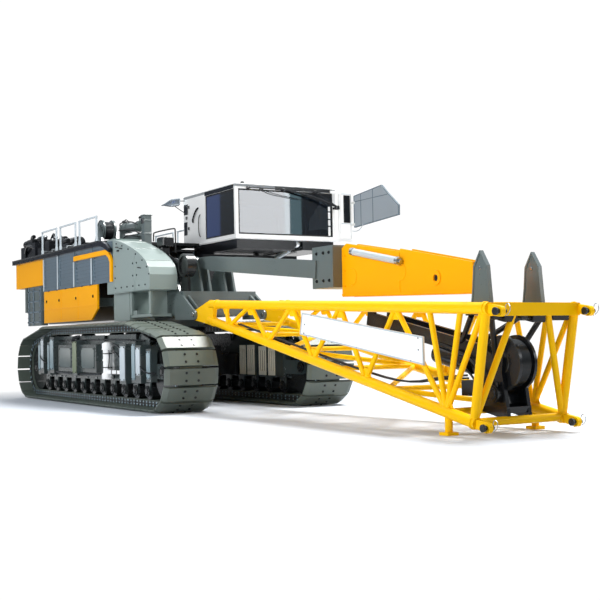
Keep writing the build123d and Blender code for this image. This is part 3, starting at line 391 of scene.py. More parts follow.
def startSpin(profile, centre, axis, steps=32):
    # profile: pairs of distance along the axis and radius, closed by the spin itself
    clearSelection()
    axis, centre = Vector(axis).normalized(), Vector(centre)
    out = axis.orthogonal().normalized()
    bpy.ops.mesh.primitive_circle_add(vertices=len(profile), radius=1)
    for vertex, (along, radius) in zip(bpy.context.object.data.vertices, profile):
        vertex.co = centre + axis * along + out * radius
    editAll()
    bpy.ops.mesh.spin(steps=steps, angle=2 * math.pi, center=centre, axis=axis)
    bpy.ops.mesh.select_all(action="SELECT")
    bpy.ops.mesh.remove_doubles(threshold=0.0002)
    return leaveOutward()


def roundEdges(piece, width, segments=2, angle=30):
    makeActive(piece)
    bevel = piece.modifiers.new("edges", "BEVEL")
    bevel.width, bevel.segments, bevel.limit_method, bevel.angle_limit = width, segments, "ANGLE", math.radians(angle)
    bpy.ops.object.modifier_apply(modifier="edges")
    return piece


def insetFaces(piece, along, rim, push):
    # insets each face that looks along the given way
    makeActive(piece)
    editAll()
    bpy.ops.mesh.select_mode(type="FACE")
    bpy.ops.mesh.select_all(action="DESELECT")
    for face in bmesh.from_edit_mesh(piece.data).faces:
        face.select_set(face.normal.dot(Vector(along)) > 0.9)
    bmesh.update_edit_mesh(piece.data)
    bpy.ops.mesh.inset(thickness=rim, depth=push, use_individual=True)
    bpy.ops.object.mode_set(mode="OBJECT")
    return piece


def joined(pieces):
    if len(pieces) > 1:
        clearSelection()
        for piece in pieces:
            piece.select_set(True)
        bpy.context.view_layer.objects.active = pieces[0]
        bpy.ops.object.join()
    makeActive(pieces[0])
    applyPlace()
    return pieces[0]


def copiedTo(source, places):
    copies = []
    for place in places:
        copy = bpy.data.objects.new("copy", source.data.copy())
        copy.matrix_world = place if isinstance(place, Matrix) else Matrix.Translation(place)
        bpy.context.scene.collection.objects.link(copy)
        copies.append(copy)
    bpy.data.objects.remove(source)
    return joined(copies)


def finishPiece(pieces, name, paint, body, angle=35):
    piece = joined(pieces) if isinstance(pieces, list) else pieces
    makeActive(piece)
    piece.name = piece.data.name = name
    piece.data.materials.clear()
    piece.data.materials.append(paints[paint])
    bpy.ops.object.shade_smooth_by_angle(angle=math.radians(angle))
    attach(piece, body)
    return piece


def facing(place, normal):
    # a copy's place with its own +Z along normal
    return Matrix.Translation(place) @ Vector(normal).to_track_quat("Z", "Y").to_matrix().to_4x4()


def boltsAt(radius, high, places):
    # hexagon heads on washers; places: pairs of seat and normal
    washer = startRound((0, 0, -0.2 * high), (0, 0, 0.25 * high), radius * 1.35, 12)
    head = startRound((0, 0, 0.2 * high), (0, 0, high), radius, 6)
    return copiedTo(joined([washer, head]), [facing(place, normal) for place, normal in places])


def ringOf(count):
    # cosine and sine of even steps round a circle
    turns = [number * 2 * math.pi / count for number in range(count)]
    return [(math.cos(turn), math.sin(turn)) for turn in turns]


def closedPairs(points):
    return zip(points, [*points[1:], points[0]])


# Tracks: link plates, pins and shoe bolts follow the belt's own line

belt = {
    "wheel": (5.4, 1.06), "wheelReach": 0.97, "carrier": (3.7, 2.01), "carrierReach": 0.32,
    "links": 62, "trackY": 2.09, "chainHalf": 0.31,
}


def beltParts():
    # the loop from the rear wheel's lowest point on: kind, (x, z, angle, reach), length
    (wheelX, wheelZ), (carrierX, carrierZ) = belt["wheel"], belt["carrier"]
    big, small = belt["wheelReach"], belt["carrierReach"]
    span = Vector((carrierX - wheelX, carrierZ - wheelZ))
    lean = math.atan2(span.y, span.x) - math.acos((big - small) / span.length)
    slope = math.sqrt(span.length ** 2 - (big - small) ** 2)
    right, up = math.pi / 2, math.pi
    return [
        ("line", (-wheelX, wheelZ, -right, big), 2 * wheelX),
        ("arc", (wheelX, wheelZ, -right, big), (lean + right) * big),
        ("line", (wheelX, wheelZ, lean, big), slope),
        ("arc", (carrierX, carrierZ, lean, small), (right - lean) * small),
        ("line", (carrierX, carrierZ, right, small), 2 * carrierX),
        ("arc", (-carrierX, carrierZ, right, small), (right - lean) * small),
        ("line", (-carrierX, carrierZ, up - lean, small), slope),
        ("arc", (-wheelX, wheelZ, up - lean, big), (lean + right) * big),
    ]


def beltPlace(distance, trackY):
    # the place of a shoe's seat: own X along the belt, own Z outwards
    for kind, (x, z, angle, reach), long in beltParts():
        if distance <= long:
            break
        distance -= long
    if kind == "arc":
        angle += distance / reach
    out = Vector((math.cos(angle), 0, math.sin(angle)))
    ahead = Vector((-out.z, 0, out.x))
    seat = Vector((x, trackY, z)) + out * reach + (ahead * distance if kind == "line" else Vector())
    return Matrix.Translation(seat) @ Matrix((ahead, out.cross(ahead), out)).transposed().to_4x4()


beltLong = sum(long for _, _, long in beltParts())
pitch = beltLong / belt["links"]


def beltPhase():
    # where the first shoe on the ground run has its middle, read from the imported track
    ends = sorted({round(vertex.co.x, 3) for vertex in nodes["track_left"].data.vertices
                   if vertex.co.z < 0.002 and abs(vertex.co.x) < 3})
    gap = next(pair for pair in zip(ends, ends[1:]) if 0.02 < pair[1] - pair[0] < 0.06)
    return (gap[1] + pitch / 2 - (gap[1] - gap[0]) / 2 + belt["wheel"][0]) % pitch


def beltPlaces():
    return [beltPlace((beltPhase() + number * pitch) % beltLong, side * belt["trackY"])
            for number in range(belt["links"]) for side in ways]


shoeBolt = {"radius": 0.026, "high": 0.022, "along": 0.10, "across": 0.17, "seat": 0.09}
linkPlate = {"half": 0.235, "high": 0.078, "neck": 0.058, "thick": 0.028, "inset": 0.10}
linkPin = {"radius": 0.030, "proud": 0.014, "along": 0.112, "rows": (0.058, 0.142)}


def makeTrackDetail():
    seats = beltPlaces()
    along, across = shoeBolt["along"], shoeBolt["across"]
    four = boltsAt(shoeBolt["radius"], shoeBolt["high"],
                   [((x, y, shoeBolt["seat"]), (0, 0, 1)) for x in (-along, along) for y in (-across, across)])
    finishPiece(copiedTo(four, seats), "shoe_bolts", "darkSteel", "undercarriage")

    half, high, neck = linkPlate["half"], linkPlate["high"], linkPlate["neck"]
    quarter = [(half, high * 0.6), (half * 0.8, high), (half * 0.4, high), (half * 0.15, neck)]
    lower = [(-x, -z) for x, z in quarter] + [(x, -z) for x, z in quarter[::-1]]
    outline = lower + [(-x, -z) for x, z in lower]
    plates, pins = [], []
    for side in ways:
        inner = side * belt["chainHalf"]
        outer = inner + side * (linkPlate["thick"] + linkPin["proud"])
        plates.append(startPlate([(x, inner, z - linkPlate["inset"]) for x, z in outline],
                                 (0, side * linkPlate["thick"], 0)))
        for x in (-linkPin["along"], linkPin["along"]):
            for inset in linkPin["rows"]:
                pins.append(startRound((x, inner, -inset), (x, outer, -inset), linkPin["radius"], 10, 0.006))
    plate, pin = joined(plates), joined(pins)
    finishPiece(copiedTo(plate, seats), "link_plates", "linkSteel", "undercarriage")
    # the pins' steel ends get the light blue-grey cover paint: partly their real bare steel, partly a painted highlight
    # for their glint
    finishPiece(copiedTo(pin, seats), "link_pins", "coverPaint", "undercarriage")


makeTrackDetail()
print("stage: tracks dressed")


# Rollers and wheels: hubs with their bolts on the side frames' faces

hubs = {
    # name: places along X, Z, face out from the track's middle, radius, proud
    "roller": ([number * 0.86 - 4.3 for number in range(11)], 0.515, 0.33, 0.15, 0.05),
    "carrierHub": ((-3.7, -1.2333, 1.2333, 3.7), 2.01, 0.20, 0.085, 0.05),
    "wheelHub": ((-5.4, 5.4), 1.06, 0.37, 0.16, 0.05),
}
hubSteps = [(0, 1.0), (0.45, 1.0), (0.6, 0.85), (0.6, 0.5), (1.0, 0.45), (1.0, 0.0), (0, 0.0)]
hubBolt = {"count": 6, "circle": 0.68, "seat": 0.6, "radius": 0.1, "high": 0.35}


def makeHubs():
    for name, (places, z, face, radius, proud) in hubs.items():
        hub = startSpin([(along * proud, reach * radius) for along, reach in hubSteps], (0, 0, 0), (0, 0, 1), 20)
        circle = radius * hubBolt["circle"]
        spots = [((x * circle, y * circle, proud * hubBolt["seat"]), (0, 0, 1)) for x, y in ringOf(hubBolt["count"])]
        bolts = boltsAt(radius * hubBolt["radius"], proud * hubBolt["high"], spots)
        seats = [facing((x, side * belt["trackY"] + way * face, z), (0, way, 0))
                 for x in places for side in ways for way in ways]
        finishPiece(copiedTo(joined([hub, bolts]), seats), name + "_caps", "darkSteel", "undercarriage")


makeHubs()
print("stage: hubs ready")


# Boom foot: gussets, collars, end pins, the winch's rope and what hangs on the end frame

boom = {
    "hinge": (4.64, 2.56), "drop": math.radians(11.05), "long": 12.0, "halfY": 1.075,
    "start": (0.8, 0.42), "high": 2.12, "laceStart": 1.9, "endBay": 0.9,
    "lowerShares": (0, 0.233, 0.467, 0.7, 1), "upperShares": (-0.022, 0.122, 0.344, 0.567, 0.789),
}


def boomPlace(u, y, v, lean=0.0):
    # u along the lower chords, v square to them
    x, z = boom["hinge"]
    drop = boom["drop"]
    at = Vector((x + u * math.cos(drop) + v * math.sin(drop), y, z - u * math.sin(drop) + v * math.cos(drop)))
    return Matrix.Translation(at) @ Matrix.Rotation(drop - lean, 4, "Y")


def boomPoint(u, y, v):
    return boomPlace(u, y, v).translation


def upperV(u):
    startU, startV = boom["start"]
    return startV + (u - startU) * (boom["high"] - startV) / (boom["long"] - startU)


def laceAt(share):
    return boom["laceStart"] + share * (boom["long"] - boom["endBay"] - boom["laceStart"])


chordLean = math.atan2(boom["high"] - boom["start"][1], boom["long"] - boom["start"][0])
gusset = {"foot": 0.20, "top": 0.09, "high": 0.17, "thick": 0.018, "lift": 0.085}
collar = {"radius": 0.128, "long": 0.07, "lowerAt": (1.02, 11.86), "upperAt": (1.12, 11.86)}
endPin = {"reach": 12.3, "radius": 0.044, "half": 0.125, "head": 0.072, "headThick": 0.02, "headInside": 0.03,
          "clip": 0.008, "clipInside": 0.02, "clipLoop": [(0, 0, -0.09), (0, 0, 0.09), (0.05, 0.02, 0.15),
                                                        (0.11, 0.03, 0.10), (0.10, 0.03, -0.02), (0.03, 0.01, -0.07)]}


def makeBoomFittings():
    reach = boom["halfY"]
    foot, top, high, thick, lift = gusset.values()
    outline = [(-foot, 0), (foot, 0), (top, high), (-top, high)]
    plates = []
    for up, shares, lean in ((1, boom["lowerShares"], 0.0), (-1, boom["upperShares"], chordLean)):
        plate = roundEdges(startPlate([(x, 0, up * z) for x, z in outline], (0, thick, 0)), 0.004, 1)
        seats = [(laceAt(share), side * reach - thick / 2) for share in shares for side in ways]
        plates.append(copiedTo(plate, [boomPlace(u, y, lift if up > 0 else upperV(u) - lift, lean) for u, y in seats]))
    finishPiece(plates, "boom_gussets", "boomPaint", "boom")

    rings, pins, clips = [], [], []
    for y in (-reach, reach):
        ends = [(u, u + collar["long"], 0, 0) for u in collar["lowerAt"]]
        ends += [(u, u + collar["long"], upperV(u), upperV(u + collar["long"])) for u in collar["upperAt"]]
        for u0, u1, v0, v1 in ends:
            rings.append(startRound(boomPoint(u0, y, v0), boomPoint(u1, y, v1), collar["radius"], 20, 0.01))
        for v in (0, boom["high"]):
            at, out, half = boomPoint(endPin["reach"], y, v), Vector((0, 1, 0)), endPin["half"]
            pins.append(startRound(at - out * half, at + out * half, endPin["radius"], 16, 0.006))
            pins.append(startRound(at - out * (half + endPin["headThick"]), at - out * (half - endPin["headInside"]),
                                   endPin["head"], 16, 0.005))
            tip = at + out * (half - endPin["clipInside"])
            clips.append(startPipe([tip + Vector(step) for step in endPin["clipLoop"]], endPin["clip"], 1))
    finishPiece(rings, "chord_collars", "boomPaint", "boom")
    finishPiece(pins, "end_pins", "darkSteel", "boom")
    finishPiece(clips, "pin_clips", "pinSteel", "boom")


makeBoomFittings()

hydraulics = {
    # pipes on the end frame: route points as u, y, v on the boom, radius
    "beamPipeLow": ([(11.6, -0.95, 1.99), (11.86, -0.9, 1.95), (11.90, -0.4, 1.92), (11.90, 0.4, 1.92),
                     (11.86, 0.9, 1.95), (11.6, 0.95, 1.99)], 0.024),
    "beamPipeHigh": ([(11.5, -0.8, 1.97), (11.80, -0.75, 1.90), (11.82, -0.2, 1.88), (11.82, 0.5, 1.88),
                      (11.6, 0.62, 1.95), (11.1, 0.6, 2.0)], 0.020),
    "winchFeed": ([(9.6, -0.30, 1.03), (10.2, -0.36, 1.04), (10.9, -0.38, 0.92), (11.2, -0.42, 0.66),
                   (11.42, -0.36, 0.5)], 0.026),
    "winchReturn": ([(9.6, -0.30, 0.90), (10.3, -0.40, 0.84), (10.9, -0.44, 0.70), (11.25, -0.46, 0.44),
                     (11.5, -0.40, 0.36)], 0.022),
    "chordLine": ([(2.2, -0.95, 0.13), (5.0, -0.95, 0.13), (8.0, -0.95, 0.13), (9.6, -0.93, 0.2), (10.3, -0.6, 0.5),
                   (10.8, -0.42, 0.62)], 0.020),
    "chordLineTwo": ([(2.2, -0.90, 0.13), (5.0, -0.90, 0.13), (8.0, -0.90, 0.13), (9.6, -0.88, 0.2),
                      (10.3, -0.55, 0.46), (10.8, -0.38, 0.56)], 0.020),
}
beamBlocks = {
    # blocks under the end beam: u, y, v from and to
    "valve": ((11.74, -0.66, 1.86), (11.97, -0.36, 2.02)), "plug": ((11.74, -0.92, 1.90), (11.94, -0.76, 2.02)),
    "valveTwo": ((11.74, 0.02, 1.85), (11.97, 0.34, 2.02)), "plugTwo": ((11.74, -0.24, 1.90), (11.94, -0.08, 2.02)),
    "lampBase": ((11.74, 0.52, 1.88), (11.95, 0.94, 2.02)),
}


def makeHydraulics():
    pipes = [startPipe([boomPoint(*step) for step in route], radius) for route, radius in hydraulics.values()]
    finishPiece(pipes, "boom_pipes", "rubber", "boom")
    blocks = []
    for low, high in beamBlocks.values():
        block = startBlock(low, high, 0.015)
        block.matrix_world = boomPlace(0, 0, 0)
        blocks.append(joined([block]))
    finishPiece(blocks, "beam_valves", "darkPaint", "boom")


makeHydraulics()

drums = {
    # name: body, centre, half width between flanges, core, rope layer, flange, rope
    "boom": ("boom_drum", boomPoint(11.483, 0, 0.989), 0.148, 0.33, 0.455, 0.53, 0.026),
    "deck": ("deck_drum", Vector((-1.75, -1.25, 5.46)), 0.148, 0.21, 0.285, 0.34, 0.022),
    "front": ("front_drum", Vector((1.75, 0, 3.86)), 0.378, 0.30, 0.39, 0.47, 0.026),
}
drumTrim = {"outside": 0.052, "lip": 0.93, "lipThick": 0.012, "hub": (0.26, 0.40, 0.37), "hubThick": 0.014,
            "bolts": 10, "boltCircle": 0.48, "groove": 0.35, "coreGap": 0.004}


def makeDrumDetail():
    for name, (body, centre, half, core, layer, flange, rope) in drums.items():
        turns = int(half / rope)
        step = half / turns
        valley, inner = layer - rope * drumTrim["groove"], core + drumTrim["coreGap"]
        profile = []
        for number in range(2 * turns):
            start = number * step - half
            profile += [(start, valley), (start + step * 0.5, layer)]
        profile += [(half, valley), (half, inner), (-half, inner)]
        winding = startSpin(profile, centre, (0, 1, 0), 36)
        finishPiece(winding, name + "_drum_rope", "darkSteel", body, 60)
        trims = []
        hubIn, hubOut, hubTop = [share * flange for share in drumTrim["hub"]]
        lipIn, lipThick, hubThick = flange * drumTrim["lip"], drumTrim["lipThick"], drumTrim["hubThick"]
        for way in ways:
            face = centre + Vector((0, way * (half + drumTrim["outside"]), 0))
            lip = [(0, flange), (0, lipIn), (lipThick, lipIn), (lipThick, flange)]
            hub = [(0, hubIn), (0, hubOut), (hubThick, hubTop), (hubThick, hubIn)]
            trims += [startSpin(lip, face, (0, way, 0), 36), startSpin(hub, face, (0, way, 0), 24)]
            seats = [(face + Vector((x, 0, z)) * flange * drumTrim["boltCircle"], (0, way, 0))
                     for x, z in ringOf(drumTrim["bolts"])]
            trims.append(boltsAt(0.016, 0.018, seats))
        finishPiece(trims, name + "_drum_trim", "darkSteel", body)


makeDrumDetail()

winchMotor = {"place": (11.573, -0.46, 0.43), "radius": 0.15, "flange": 0.175, "port": 0.03, "portX": 0.06,
              "bolts": 6, "boltCircle": 0.6}


def makeWinchMotor():
    at, radius, flange = boomPoint(*winchMotor["place"]), winchMotor["radius"], winchMotor["flange"]
    collars = [(0.02, radius), (0.02, flange), (0.06, flange), (0.06, radius)]
    cap = [(0, 0.0), (0, radius * 0.8), (-0.025, radius * 0.75), (-0.03, 0.0)]
    parts = [startSpin(profile, at, (0, 1, 0), 24) for profile in (collars, cap)]
    for dx in (-winchMotor["portX"], winchMotor["portX"]):
        parts.append(startRound(at + Vector((dx, 0.10, radius - 0.02)), at + Vector((dx, 0.10, radius + 0.07)),
                                winchMotor["port"], 12, 0.005))
    circle = radius * winchMotor["boltCircle"]
    parts.append(boltsAt(0.013, 0.014, [(at + Vector((x * circle, -0.024, z * circle)), (0, -1, 0))
                                        for x, z in ringOf(winchMotor["bolts"])]))
    finishPiece(parts, "winch_motor_trim", "darkSteel", "boom")


makeWinchMotor()

nameBoard = {"y": -1.209, "corners": ((0.419, 1.010), (0.915, 1.300), (0.928, 0.765), (0.418, 0.510)),
             "edge": 0.022, "rim": 0.03, "boltShares": (0.06, 0.5), "boltInset": 0.07}


def makeBoardTrim():
    corners = [boomPoint(laceAt(share), nameBoard["y"], v) for share, v in nameBoard["corners"]]
    edge, rim = Vector((0, -nameBoard["edge"] / 2, 0)), nameBoard["rim"]
    strips = []
    for number in range(4):
        a, b, c, d = corners[number:] + corners[:number]
        inner = [b + edge * 0.2 + (c - b).normalized() * rim, a + (d - a).normalized() * rim]
        strips.append(startPlate([a, b, *inner], edge))
    finishPiece(strips, "board_edge", "railPaint", "boom")
    middle = sum(corners, Vector()) / 4
    seats = [(start.lerp(end, share).lerp(middle, nameBoard["boltInset"]), (0, -1, 0))
             for start, end in closedPairs(corners) for share in nameBoard["boltShares"]]
    finishPiece(boltsAt(0.014, 0.012, seats), "board_bolts", "pinSteel", "boom")


makeBoardTrim()

horn = {"x": 16.11, "y": 0.635, "thick": 0.07, "rim": 0.012, "inner": (0.84, 0.90), "middle": 2.80,
        "face": [(-0.30, 2.30), (0.28, 2.30), (0.23, 2.75), (0.19, 3.16), (0.0, 3.45), (-0.19, 3.16), (-0.23, 2.75)],
        # pins: x from the middle, z, half length, radius, sides, edge
        "pins": ((0, 3.12, 0.06, 0.035, 14, 0.005), (-0.2, 2.38, 0.055, 0.022, 10, 0.004),
                 (0.2, 2.38, 0.055, 0.022, 10, 0.004))}


def makeHornTrim():
    rims, pins = [], []
    across, along = horn["inner"]
    for side in ways:
        for way in ways:
            y = side * horn["y"] + way * horn["thick"] / 2
            for start, end in closedPairs(horn["face"]):
                outer = [(horn["x"] + dx, y, z) for dx, z in (start, end)]
                inner = [(horn["x"] + dx * across, y, horn["middle"] + (z - horn["middle"]) * along)
                         for dx, z in (end, start)]
                rims.append(startPlate(outer + inner, (0, way * horn["rim"], 0)))
        for dx, z, half, radius, sides, edge in horn["pins"]:
            ends = [(horn["x"] + dx, side * horn["y"] + way * half, z) for way in ways]
            pins.append(startRound(*ends, radius, sides, edge))
    finishPiece(rims, "horn_rims", "greyPaint", "boom")
    finishPiece(pins, "horn_pins", "pinSteel", "boom")


makeHornTrim()
print("stage: boom dressed")


# A-frame: pin caps, bolts, stiffeners, grooved sheaves and the pendant rod's ends

aHead = {
    # plates and caps on both faces of the head, as x and z
    "half": 0.19, "caps": ((11.03, 3.25), (12.91, 3.25)), "bolts": ((10.73, 3.05), (10.73, 3.4), (10.73, 3.75)),
    "cap": [(0, 0.0), (0, 0.20), (0.012, 0.192), (0.012, 0.0)],
    "eye": [(0, 0.075), (0, 0.16), (0.025, 0.15), (0.025, 0.075)],
    "seam": ([(12.85, 2.75), (12.89, 2.75), (12.89, 3.66), (12.85, 3.66)], 0.01),
    "lowRib": ([(10.61, 2.83), (15.31, 2.70), (15.31, 2.75), (10.61, 2.88)], 0.014),
}
sheave = {
    "place": (14.15, 3.05), "ys": (-0.08, 0.0, 0.08),
    "groove": [(-0.030, 0.10), (-0.030, 0.30), (-0.024, 0.31), (-0.016, 0.30), (-0.010, 0.275), (0.010, 0.275),
               (0.016, 0.30), (0.024, 0.31), (0.030, 0.30), (0.030, 0.10)],
    "spindle": [(-0.19, 0.0), (-0.19, 0.068), (-0.12, 0.07), (-0.12, 0.118), (0.12, 0.118), (0.12, 0.07),
                (0.19, 0.068), (0.19, 0.0)],
}
pendantEnds = {
    # ends as x and z, and the way each looks along the rod; steps: from, to, radius, sides, edge
    "ends": (((11.25, 3.80), -1), ((12.89, 3.49), 1)), "y": -0.268, "along": (1.64, 0, -0.31),
    "steps": ((0, 0.10, 0.092, 16, 0.008), (0.08, 0.16, 0.05, 14, 0.006)),
}
hingeCap = {"place": (3.4, 0.58, 4.1), "profile": [(0, 0.0), (0, 0.12), (0.02, 0.11), (0.02, 0.0)]}
legBolts = {"xs": (9.9, 10.2, 10.45), "zs": (3.2, 3.85), "y": 0.44}


def makeHeadDetail():
    caps, ribs = [], []
    half = aHead["half"]
    for side in ways:
        out = (0, side, 0)
        caps += [startSpin(aHead["cap"], (x, side * half, z), out, 24) for x, z in aHead["caps"]]
        x, z = sheave["place"]
        caps.append(startSpin(aHead["eye"], (x, side * half, z), out, 24))
        for outline, proud in (aHead["seam"], aHead["lowRib"]):
            ribs.append(startPlate([(x, side * half, z) for x, z in outline], (0, side * proud, 0)))
    seats = [((x, side * half, z), (0, side, 0)) for x, z in aHead["bolts"] for side in ways]
    caps.append(boltsAt(0.022, 0.024, seats))
    finishPiece(caps, "a_frame_caps", "orangePaint", "a_frame")
    finishPiece(ribs, "a_frame_ribs", "orangePaint", "a_frame")


def makeHeadFittings():
    x, z = sheave["place"]
    wheels = [startSpin(sheave["groove"], (x, y, z), (0, 1, 0), 32) for y in sheave["ys"]]
    wheels.append(startSpin(sheave["spindle"], (x, 0, z), (0, 1, 0), 24))
    sheaves = finishPiece(wheels, "grooved_sheaves", "darkSteel", "a_frame_sheaves")
    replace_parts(sheaves, "a_frame_sheaves")
    ends = []
    for (x, z), ahead in pendantEnds["ends"]:
        at, along = Vector((x, pendantEnds["y"], z)), Vector(pendantEnds["along"]).normalized() * ahead
        ends += [startRound(at + along * low, at + along * high, *rest) for low, high, *rest in pendantEnds["steps"]]
    finishPiece(ends, "pendant_ends", "pinSteel", "a_frame")
    x, y, z = hingeCap["place"]
    knuckles = [startSpin(hingeCap["profile"], (x, side * y, z), (0, side, 0), 20) for side in ways]
    finishPiece(knuckles, "a_hinge_caps", "darkSteel", "superstructure")
    seats = [((x, side * legBolts["y"], z), (0, side, 0)) for x in legBolts["xs"] for z in legBolts["zs"]
             for side in ways]
    finishPiece(boltsAt(0.03, 0.03, seats), "a_leg_bolts", "darkSteel", "a_frame")


makeHeadDetail()
makeHeadFittings()
print("stage: A-frame dressed")


# Cab: lining, gaskets, guard linkages, mirror, seat, controls and the catwalk's panel

lining = {
    # inner panels: low corner, high corner, faces inset towards
    "rearWall": ((-1.335, 1.40, 5.07), (-1.30, 4.82, 6.50), (1, 0, 0)),
    "nearWall": ((-1.30, 1.385, 5.07), (0.22, 1.42, 6.50), (0, 1, 0)),
    "farWall": ((-1.30, 4.80, 5.07), (0.40, 4.835, 6.50), (0, -1, 0)),
    "farPillar": ((1.41, 4.80, 5.07), (1.51, 4.835, 6.46), (0, -1, 0)),
    "ceiling": ((-1.30, 1.42, 6.46), (2.27, 4.80, 6.52), (0, 0, -1)),
    "mat": ((-1.30, 1.42, 5.065), (2.27, 4.80, 5.085), (0, 0, 1)),
}
gaskets = {
    # window frames: from and to as x and y, outwards; all between the same heights
    "front": ((2.33, 1.42), (2.33, 4.80), (1, 0, 0)),
    "near": ((0.25, 1.35), (2.26, 1.35), (0, -1, 0)),
    "far": ((1.52, 4.87), (2.26, 4.87), (0, 1, 0)),
}
gasket = {"wide": 0.045, "proud": 0.012, "low": 5.08, "top": 6.47}
sunBands = {
    "roll": ((0.50, 1.45, 6.38), (2.24, 1.45, 6.38), 0.055, 16, 0.01),
    "band": ((0.23, 1.306, 6.475), (2.25, 1.321, 6.598), 0.005),
    "brow": ((2.359, 2.7, 6.482), (2.374, 4.78, 6.585), 0.005),
}


def frameStrips(corners, outward, wide, proud):
    strips = []
    middle = sum((Vector(corner) for corner in corners), Vector()) / len(corners)
    for start, end in closedPairs(corners):
        a, b = Vector(start), Vector(end)
        inner = [corner + Vector([math.copysign(wide, part) if abs(part) > 1e-6 else 0 for part in middle - corner])
                 for corner in (b, a)]
        strips.append(startPlate([a, b, *inner], Vector(outward) * proud))
    return strips


def makeLining():
    panels = [insetFaces(startBlock(low, high, 0.006), inward, 0.06, -0.006) for low, high, inward in lining.values()]
    finishPiece(panels, "cab_lining", "seatCloth", "cab")
    low, top = gasket["low"], gasket["top"]
    strips = []
    for a, b, outward in gaskets.values():
        strips += frameStrips([(*a, low), (*b, low), (*b, top), (*a, top)], outward, gasket["wide"], gasket["proud"])
    finishPiece(strips, "window_gaskets", "rubber", "cab")
    bands = [startRound(*sunBands["roll"]), startBlock(*sunBands["band"]), startBlock(*sunBands["brow"])]
    finishPiece(bands, "cab_sun_bands", "darkPaint", "cab")


makeLining()

linkages = {
    # guard bars, wiper arms and mirror arms: route, radius
    "upperBar": ([(2.44, 1.75, 6.50), (2.46, 2.6, 6.50), (2.47, 3.4, 6.49), (2.46, 4.3, 6.47)], 0.016),
    "swingBar": ([(2.44, 2.95, 6.50), (2.50, 3.6, 6.40), (2.56, 4.3, 6.24), (2.60, 4.80, 6.04)], 0.030),
    "swingBarTwo": ([(2.44, 3.30, 6.47), (2.52, 3.9, 6.30), (2.58, 4.5, 6.12), (2.60, 4.84, 6.00)], 0.018),
    "stay": ([(2.43, 4.10, 6.50), (2.50, 4.45, 6.30), (2.58, 4.78, 6.06)], 0.014),
    "wiperArm": ([(2.40, 2.2, 6.47), (2.43, 2.5, 6.36), (2.42, 3.2, 6.26), (2.41, 3.6, 6.22)], 0.011),
    "mirrorArm": ([(-1.32, 1.33, 6.50), (-1.5, 1.2, 6.52), (-1.75, 1.12, 6.50)], 0.014),
    "mirrorArmTwo": ([(-1.32, 1.33, 6.10), (-1.5, 1.2, 6.22), (-1.75, 1.12, 6.40)], 0.014),
}
linkSeats = {"places": ((1.75, 6.50), (2.95, 6.50), (3.30, 6.47), (4.10, 6.50), (2.2, 6.47)), "x": (2.352, 2.46),
             "half": (0.05, 0.035)}
linkBlocks = {
    "knuckle": ((2.53, 4.76, 5.93), (2.66, 4.89, 6.06), 0.02), "arm": ((2.352, 4.80, 5.96), (2.55, 4.87, 6.03), 0.01),
    "doorRail": ((-1.30, 4.90, 6.5003), (1.46, 4.968, 6.5503), 0.008),
}
roofLamp = {
    "place": (2.1, 1.7, 6.6205), "base": [(0, 0), (0, 0.085), (0.02, 0.085), (0.03, 0.06), (0.03, 0)],
    "lens": [(0.03, 0), (0.03, 0.058), (0.085, 0.055), (0.105, 0.03), (0.11, 0)],
}
mirror = {
    # a long diamond seen nearly edge on
    "outline": [(-2.62, 1.10, 6.50), (-1.98, 1.10, 6.60), (-1.30, 1.14, 6.56), (-1.36, 1.14, 6.36),
                (-1.95, 1.10, 6.38)],
    "thick": 0.03,
}


def makeFittings():
    parts = [startPipe(route, radius) for route, radius in linkages.values()]
    x0, x1 = linkSeats["x"]
    dy, dz = linkSeats["half"]
    parts += [startBlock((x0, y - dy, z - dz), (x1, y + dy, z + dz), 0.012) for y, z in linkSeats["places"]]
    parts += [startBlock(*block) for block in linkBlocks.values()]
    parts += [startSpin(roofLamp[part], roofLamp["place"], (0, 0, 1), 20) for part in ("base", "lens")]
    fittings = finishPiece(parts, "cab_linkages", "darkPaint", "cab")
    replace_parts(fittings, "cab_fittings")
    blade = roundEdges(startPlate(mirror["outline"], (0, mirror["thick"], 0)), 0.008)
    finishPiece(insetFaces(blade, (0, -1, 0), 0.035, -0.008), "mirror_blade", "mirrorFace", "cab")


makeFittings()

wallParts = {
    # dark hatches and brackets on the near wall's rear end: low, high
    "upperHatch": ((-1.36, 1.308, 6.02), (-1.05, 1.322, 6.36)),
    "lowerHatch": ((-1.36, 1.308, 5.34), (-1.10, 1.322, 5.78)),
    "hingeHigh": ((-1.02, 1.296, 6.20), (-0.92, 1.322, 6.30)), "hingeLow": ((-1.04, 1.296, 5.50), (-0.94, 1.322, 5.60)),
    "latch": ((-1.20, 1.290, 5.86), (-1.10, 1.322, 5.96)),
}
wallPipes = {
    "grip": ([(-0.66, 1.32, 5.72), (-0.64, 1.27, 5.76), (-0.44, 1.26, 5.98), (-0.28, 1.27, 6.13),
              (-0.26, 1.32, 6.15)], 0.028),
    "handle": ([(-0.12, 1.32, 5.20), (-0.12, 1.25, 5.22), (-0.12, 1.25, 5.9), (-0.12, 1.32, 5.92)], 0.014),
}
cabTrim = {
    # plates up the front pillar, drip edges at the floor and round the roof: low, high, edge
    "plates": [((2.362, 4.62, z0), (2.378, 4.70, z1), 0.005)
               for z0, z1 in ((5.12, 5.40), (5.44, 5.62), (5.66, 5.86), (5.90, 6.04))],
    "sills": [((-1.405, 1.30, 4.955), (2.375, 1.318, 4.985), 0.005),
              ((2.362, 1.30, 4.955), (2.378, 4.90, 4.985), 0.005)],
    "eaves": [(low, high, 0.006) for low, high in (
        ((-1.42, 1.30, 6.60), (2.38, 1.32, 6.63)), ((2.361, 1.30, 6.60), (2.385, 4.92, 6.63)),
        ((-1.42, 4.901, 6.60), (2.38, 4.92, 6.63)), ((-1.42, 1.30, 6.60), (-1.401, 4.92, 6.63)))],
}
roofRibs = {"xs": (-0.9, -0.1, 0.7, 1.5), "low": (-0.05, 1.5, 6.62), "high": (0.05, 4.7, 6.64)}


